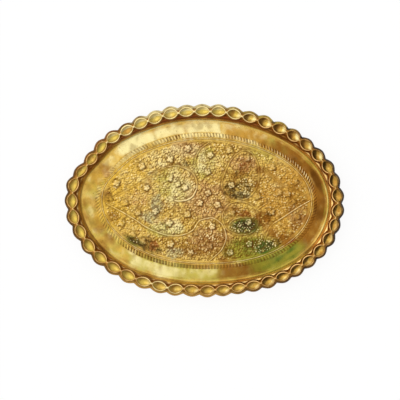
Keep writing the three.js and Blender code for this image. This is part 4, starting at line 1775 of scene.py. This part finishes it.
    def stroke_lean(self, offset: Array, turn: Array) -> Array:
        """How far round a stroke leans: its distance from its middle times the tangent of its slant.

        Args:
            offset: Offsets from the pinch line, mm.
            turn: Turns round the oval, radians.

        Returns:
            The lean, as a share of the pitch of the strokes.
        """
        half_length = self.oval.half_length + self.stroke_offset
        half_width = self.oval.half_width + self.stroke_offset
        pitch = TAU * math.sqrt((half_length**2 + half_width**2) / 2) / self.stroke_count
        slant = self.slant + self.slant_swing * np.cos(2 * (turn - self.slant_turn))
        reach = self.stroke_half_length
        return np.clip(offset - self.stroke_offset, -reach, reach) * np.tan(slant) / pitch

    def stroke_shape(self, offset: Array, count: Array) -> Array:
        """Leaf-shaped strokes: a round bump across each stroke, which narrows to its two ends.

        Args:
            offset: Offsets from the pinch line, mm.
            count: Place along the ring of strokes, in strokes.

        Returns:
            Height share from 0 to 1.
        """
        along = (offset - self.stroke_offset) / self.stroke_half_length
        width = self.stroke_width * np.sqrt(np.clip(1.0 - along**2, TINY, 1.0))
        aside = np.abs(count % 1.0 - 0.5)
        return np.clip(1.0 - (aside / width) ** 2, 0.0, 1.0) * (np.abs(along) < 1.0)

    def chasing(self, offset: Array, count: Array, degrees: Array, patchy: Array) -> Relief:
        """The line, a round ridge with a groove each side, a faint line, and the strokes in their sunk bed.

        Args:
            offset: Offsets from the pinch line, mm.
            count: Place along the ring of strokes, in strokes.
            degrees: Turns round the oval, from 0 to 360 degrees.
            patchy: How much more the strokes are rubbed and dirty here than there.

        Returns:
            The relief over the plain floor, with the bed as its figure.
        """
        from_line = np.abs(offset - self.line_offset)
        line = ridge(from_line, self.line_half_width)
        faint = bell(offset, self.faint_line_offset, self.faint_line_width)
        groove = bell(from_line - self.line_half_width, self.line_groove_gap, self.line_groove_width)
        stroke = self.stroke_shape(offset, count)
        bed = smooth_step(*self.bed_edge, np.abs(offset - self.stroke_offset))
        height = self.line_height * line + self.faint_line_height * faint - self.line_groove_depth * groove
        height = height + self.stroke_height * stroke - self.bed_depth * bed
        turns, rubbed, dirty = np.transpose(STROKE_CLEARNESS)
        wear = self.stroke_wear * (np.interp(degrees, turns, rubbed) + patchy)
        dirt = self.bed_dirt * (np.interp(degrees, turns, dirty) + patchy)
        crest = np.maximum.reduce([self.line_wear * line, wear * stroke, self.faint_line_wear * faint])
        ground = np.maximum(self.line_dirt * groove, dirt * bed * (1.0 - stroke))
        return Relief(height, crest, ground, bed)

    def build_ring(self, border: CrimpedBorder) -> bpy.types.Object:
        """Makes the pan round the field: the section carried round the oval, with line and strokes raised.

        The columns are even steps along the strokes and lean with them. The masks are smooth steps and bells
        of the offset and of the height over the floor.

        Args:
            border: The border, whose cups the painted shade on the wall follows.

        Returns:
            The pan's piece.
        """
        offsets, heights = self.section()
        ring_steps = self.stroke_count * self.steps_per_stroke
        plan = Oval(self.oval.half_length + self.stroke_offset, self.oval.half_width + self.stroke_offset)
        turns = plan.even_steps(ring_steps)
        count = np.arange(ring_steps) / self.steps_per_stroke
        offset = np.repeat(offsets[:, None], ring_steps, axis=1)
        height = np.repeat(heights[:, None], ring_steps, axis=1)
        starts = turns[:: self.steps_per_stroke]
        unrolled = np.concatenate([starts[-2:] - TAU, starts, starts[:3] + TAU])
        numbers = np.arange(-2, self.stroke_count + 3)
        turn = np.interp(count + self.stroke_lean(offset, turns), numbers, unrolled)
        x, y = self.ring(offset, turn)
        on_floor = np.isclose(height, self.floor_top) & (offset < self.relief_end)
        relief = self.chasing(offset, count, np.degrees(turn) % 360.0, self.rubbing.at(x, y))
        edge = smooth_step(self.field_edge, self.field_edge + self.edge_fade, offset)
        height = height + (relief.height + self.hammering.at(x, y)) * edge * on_floor
        plan_x, plan_y = self.oval.uneven(x, y)
        points = np.stack([plan_x, plan_y, height], axis=-1).reshape(-1, 3)

        above = height - self.floor_top
        wall = np.where(above < self.underside, 1.0, smooth_step(*self.wall_span, above))
        on_top = (np.arange(len(offsets)) < np.argmax(offsets))[:, None]
        cove = bell(above, self.cove_height, self.cove_width) * (offset > self.cove_start) * on_top
        # Painted shade on the upper wall under the cups, fading on the side turned to the light.
        cups = -border.inner_edge(turn)
        shade = smooth_step(cups + self.painted_shade_reach[0], cups + self.painted_shade_reach[1], offset)
        unlit_share = 1.0 - self.lit_side_fade * np.clip(np.cos(turn - self.lit_side_turn), 0.0, 1.0)
        masks = {
            "crest": relief.crest * on_floor,
            "ground": relief.ground * on_floor,
            "wall": wall,
            "painted_shade": unlit_share * shade * smooth_step(*self.painted_shade_span, above) * on_top,
            "mottle": 0.5 + sum(wave.at(x, y) for wave in self.clouds) * on_floor,
            "matted": np.zeros_like(x),
        }
        flat = (1.0 - wall) * (1.0 - cove)
        foot = smooth_step(*self.foot_span, offset) * on_floor
        foot = foot * np.clip(self.foot_mean + self.foot_patches.at(x, y), 0.0, 1.0)
        zones = {
            Zone.BAND: smooth_step(*self.band_span, offset) * flat,
            Zone.PLAIN: smooth_step(*self.plain_span, offset) * flat,
            Zone.STROKES: relief.figure * on_floor,
            Zone.FOOT: np.maximum(foot, cove),
            Zone.COVE: cove,
            Zone.WALL: wall,
            Zone.EAVES: smooth_step(*self.eaves_span, above),
        }
        masks.update(stain_and_light_masks(x, y, np.degrees(turn), zones))
        drawn_out = self.run_patches.at(self.run_stretch * turn * self.oval.half_length, offset)
        masks[Tint.VERDIGRIS.value] *= np.clip(self.run_mean + drawn_out, 0.0, 1.0)
        faces = loop_faces(len(offsets), ring_steps)[:, ::-1]
        return make_piece("raised_pan", points, [faces], masks, self.sharp_crease)

    def dress(self, border: CrimpedBorder) -> None:
        """Builds the field and the pan round it, and gives both the chased brass.

        Args:
            border: The border, whose cups the painted shade on the wall follows.
        """
        brass = PAN_FINISH.material("chased_brass")
        dress_piece(self.build_field(), brass, "tray_pan")
        dress_piece(self.build_ring(border), brass, "tray_pan")


@dataclass
class SolderSeam:
    """The soft solder between flange and border, with an uneven bead squeezed out along each side."""

    oval: Oval
    low: float
    high: float
    inner_seat: float = 2.4
    outer_seat: float = 3.0
    steps: int = 900
    bead: float = 0.28
    bead_span: Span = (0.05, 0.5)
    bead_swing: Ripple = Ripple(0.12, 4.0, 3)
    bead_stretch: float = 40.0
    bead_rows: int = 6
    sharp_crease: float = 60.0

    def build(self) -> bpy.types.Object:
        """Makes the seam: a flat section, with round sides that bulge unevenly, carried round the oval.

        Returns:
            The seam's piece.
        """
        turns = np.arange(self.steps) / self.steps * TAU
        around = turns * self.bead_stretch
        squeeze = np.clip(self.bead + self.bead_swing.at(around, np.zeros_like(around)), *self.bead_span)
        bulge = np.linspace(-np.pi / 2, np.pi / 2, self.bead_rows)[:, None]
        middle, half = (self.low + self.high) / 2, (self.high - self.low) / 2
        outer = self.outer_seat + squeeze * np.cos(bulge)
        inner = -self.inner_seat - squeeze[::-1] * np.cos(bulge[::-1])
        offset = np.vstack([outer, inner])
        height = np.vstack([middle + half * np.sin(bulge), middle + half * np.sin(bulge[::-1])])
        height = np.repeat(height, self.steps, axis=1)
        x, y = self.oval.uneven(*self.oval.ring(offset, turns))
        points = np.stack([x, y, height], axis=-1).reshape(-1, 3)
        faces = loop_faces(len(offset), self.steps)
        return make_piece("solder_seam", points, [faces], {}, self.sharp_crease)

    def dress(self) -> None:
        """Builds the seam and gives it the grey of soft solder."""
        dress_piece(self.build(), SoftSolder().material("soft_solder"), "border_solder")


@dataclass(frozen=True)
class Studio:
    """A pale floor, a soft sky that is brighter overhead, a soft key from the upper left, and the camera."""

    frame_pixels: int = 400
    mm_per_pixel: float = 1.1786
    tray_pixel: tuple[float, float] = (204.8, 202.0)
    tray_turn: float = 0.57
    elevation: float = 89.5
    lens: float = 250.0
    sensor: float = 36.0
    floor_half: float = 8.0
    floor_points: int = 9
    floor_drop: float = 0.05
    floor_crease: float = 30.0
    floor_colour: str = "#ffffff"
    floor_glow: float = 0.9
    sky_colour: tuple[float, float, float, float] = (1.0, 0.99, 0.97, 1.0)
    sky_bright: float = 1.08
    sky_dim: float = 0.42
    sky_span: Span = (-0.1, 0.6)
    sky_from: tuple[float, float, float] = (-0.55, 0.3, 0.75)
    key_colour: tuple[float, float, float] = (1.0, 0.98, 0.94)
    key_strength: float = 0.5
    key_from: tuple[float, float, float] = (-0.5, 0.3, 0.8)
    key_spread: float = 60.0

    def floor(self) -> bpy.types.Object:
        """Makes the floor, a flat grid a hair under the tray, of matt white paper.

        The paper looks white to the camera and in reflections, and keeps a soft shadow.

        Returns:
            The floor's object.
        """
        steps = np.linspace(-self.floor_half / MM, self.floor_half / MM, self.floor_points)
        x, y = np.meshgrid(steps, steps, indexing="ij")
        points = np.column_stack([x.ravel(), y.ravel(), np.full(x.size, -self.floor_drop)])
        faces = grid_faces(np.arange(x.size).reshape(x.shape).T)
        made = make_piece("studio_floor", points, [faces], {}, self.floor_crease)
        paper = blank_material("matt_white_paper")
        tree = paper.node_tree
        ray = add_node(tree, "LightPath", {}).outputs
        seen = ray["Is Camera Ray"]
        for other in ("Is Glossy Ray", "Is Transmission Ray"):
            seen = add_node(tree, "Math", {0: seen, 1: ray[other]}, operation="MAXIMUM").outputs[0]
        white = linear(self.floor_colour)
        diffuse = add_node(tree, "BsdfDiffuse", {"Color": white}).outputs[0]
        glow = add_node(tree, "Emission", {"Color": white, "Strength": 1.0}).outputs[0]
        share = add_node(tree, "Math", {0: seen, 1: self.floor_glow}, operation="MULTIPLY").outputs[0]
        mixed = add_node(tree, "MixShader", {0: share, 1: diffuse, 2: glow}).outputs[0]
        add_node(tree, "OutputMaterial", {"Surface": mixed})
        made.data.materials.append(paper)
        return made

    def sky(self) -> None:
        """Makes the sky: bright round one direction near overhead, and dimmer the further from it."""
        world = bpy.data.worlds.new("studio_sky")
        bpy.context.scene.world = world
        world.use_nodes = True
        tree = world.node_tree
        tree.nodes.clear()
        way = add_node(tree, "TexCoord", {}).outputs["Generated"]
        towards = tuple(np.array(self.sky_from) / np.linalg.norm(self.sky_from))
        pair = {0: way, 1: towards}
        likeness = add_node(tree, "VectorMath", pair, operation="DOT_PRODUCT").outputs["Value"]
        span = {"Value": likeness, "From Min": self.sky_span[0], "From Max": self.sky_span[1]}
        span.update({"To Min": self.sky_dim, "To Max": self.sky_bright})
        level = add_node(tree, "MapRange", span, interpolation_type="SMOOTHSTEP").outputs[0]
        glow = add_node(tree, "Background", {"Color": self.sky_colour, "Strength": level}).outputs[0]
        add_node(tree, "OutputWorld", {"Surface": glow})

    def key(self) -> None:
        """Makes the key: a wide soft sun from the upper left."""
        lamp = bpy.data.lights.new("key", "SUN")
        lamp.energy = self.key_strength
        lamp.angle = math.radians(self.key_spread)
        lamp.color = self.key_colour
        made = bpy.data.objects.new("key", lamp)
        way = np.array(self.key_from) / np.linalg.norm(self.key_from)
        made.rotation_mode = "QUATERNION"
        made.rotation_quaternion = Vector(way).to_track_quat("Z", "Y")
        bpy.context.scene.collection.objects.link(made)

    def camera(self, rim_height: float) -> None:
        """Places the camera over the tray so that a pixel of the rim's plane is the photograph's pixel.

        Args:
            rim_height: Height of the plane that the scale is true at, mm.
        """
        lens = bpy.data.cameras.new("camera")
        lens.lens = self.lens
        lens.sensor_width = self.sensor
        made = bpy.data.objects.new("camera", lens)
        pixel = self.mm_per_pixel * MM
        distance = self.frame_pixels * pixel * self.lens / self.sensor
        lift = math.radians(self.elevation)
        right = (self.frame_pixels / 2 - self.tray_pixel[0]) * pixel
        up = (self.tray_pixel[1] - self.frame_pixels / 2) * pixel
        target = np.array([right, up, rim_height * MM])
        back = np.array([0.0, -math.cos(lift), math.sin(lift)])
        made.location = tuple(target + back * distance)
        made.rotation_euler = (math.pi / 2 - lift, 0.0, math.radians(self.tray_turn))
        bpy.context.scene.collection.objects.link(made)
        bpy.context.scene.camera = made


def main() -> None:
    """Builds the tray's pieces on the frame, then the studio round them."""
    logging.basicConfig(level=logging.INFO)
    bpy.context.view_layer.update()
    _, pan_high = (np.array(c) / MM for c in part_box("tray_pan"))
    border_low, border_high = (np.array(c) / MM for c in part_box("crimped_border"))
    solder_low, solder_high = (np.array(c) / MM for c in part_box("border_solder"))

    oval = Oval(pan_high[0] - TrayPan.flange_outer, pan_high[1] - TrayPan.flange_outer)
    border = CrimpedBorder(oval, seat_height=border_low[2], top_height=border_high[2])
    TrayPan(oval, flange_top=pan_high[2]).dress(border)
    border.dress()
    SolderSeam(oval, low=solder_low[2], high=solder_high[2]).dress()

    studio = Studio()
    studio.floor()
    studio.sky()
    studio.key()
    studio.camera(border_high[2])
    bpy.context.scene.view_settings.view_transform = "Standard"


if __name__ == "__main__":
    main()
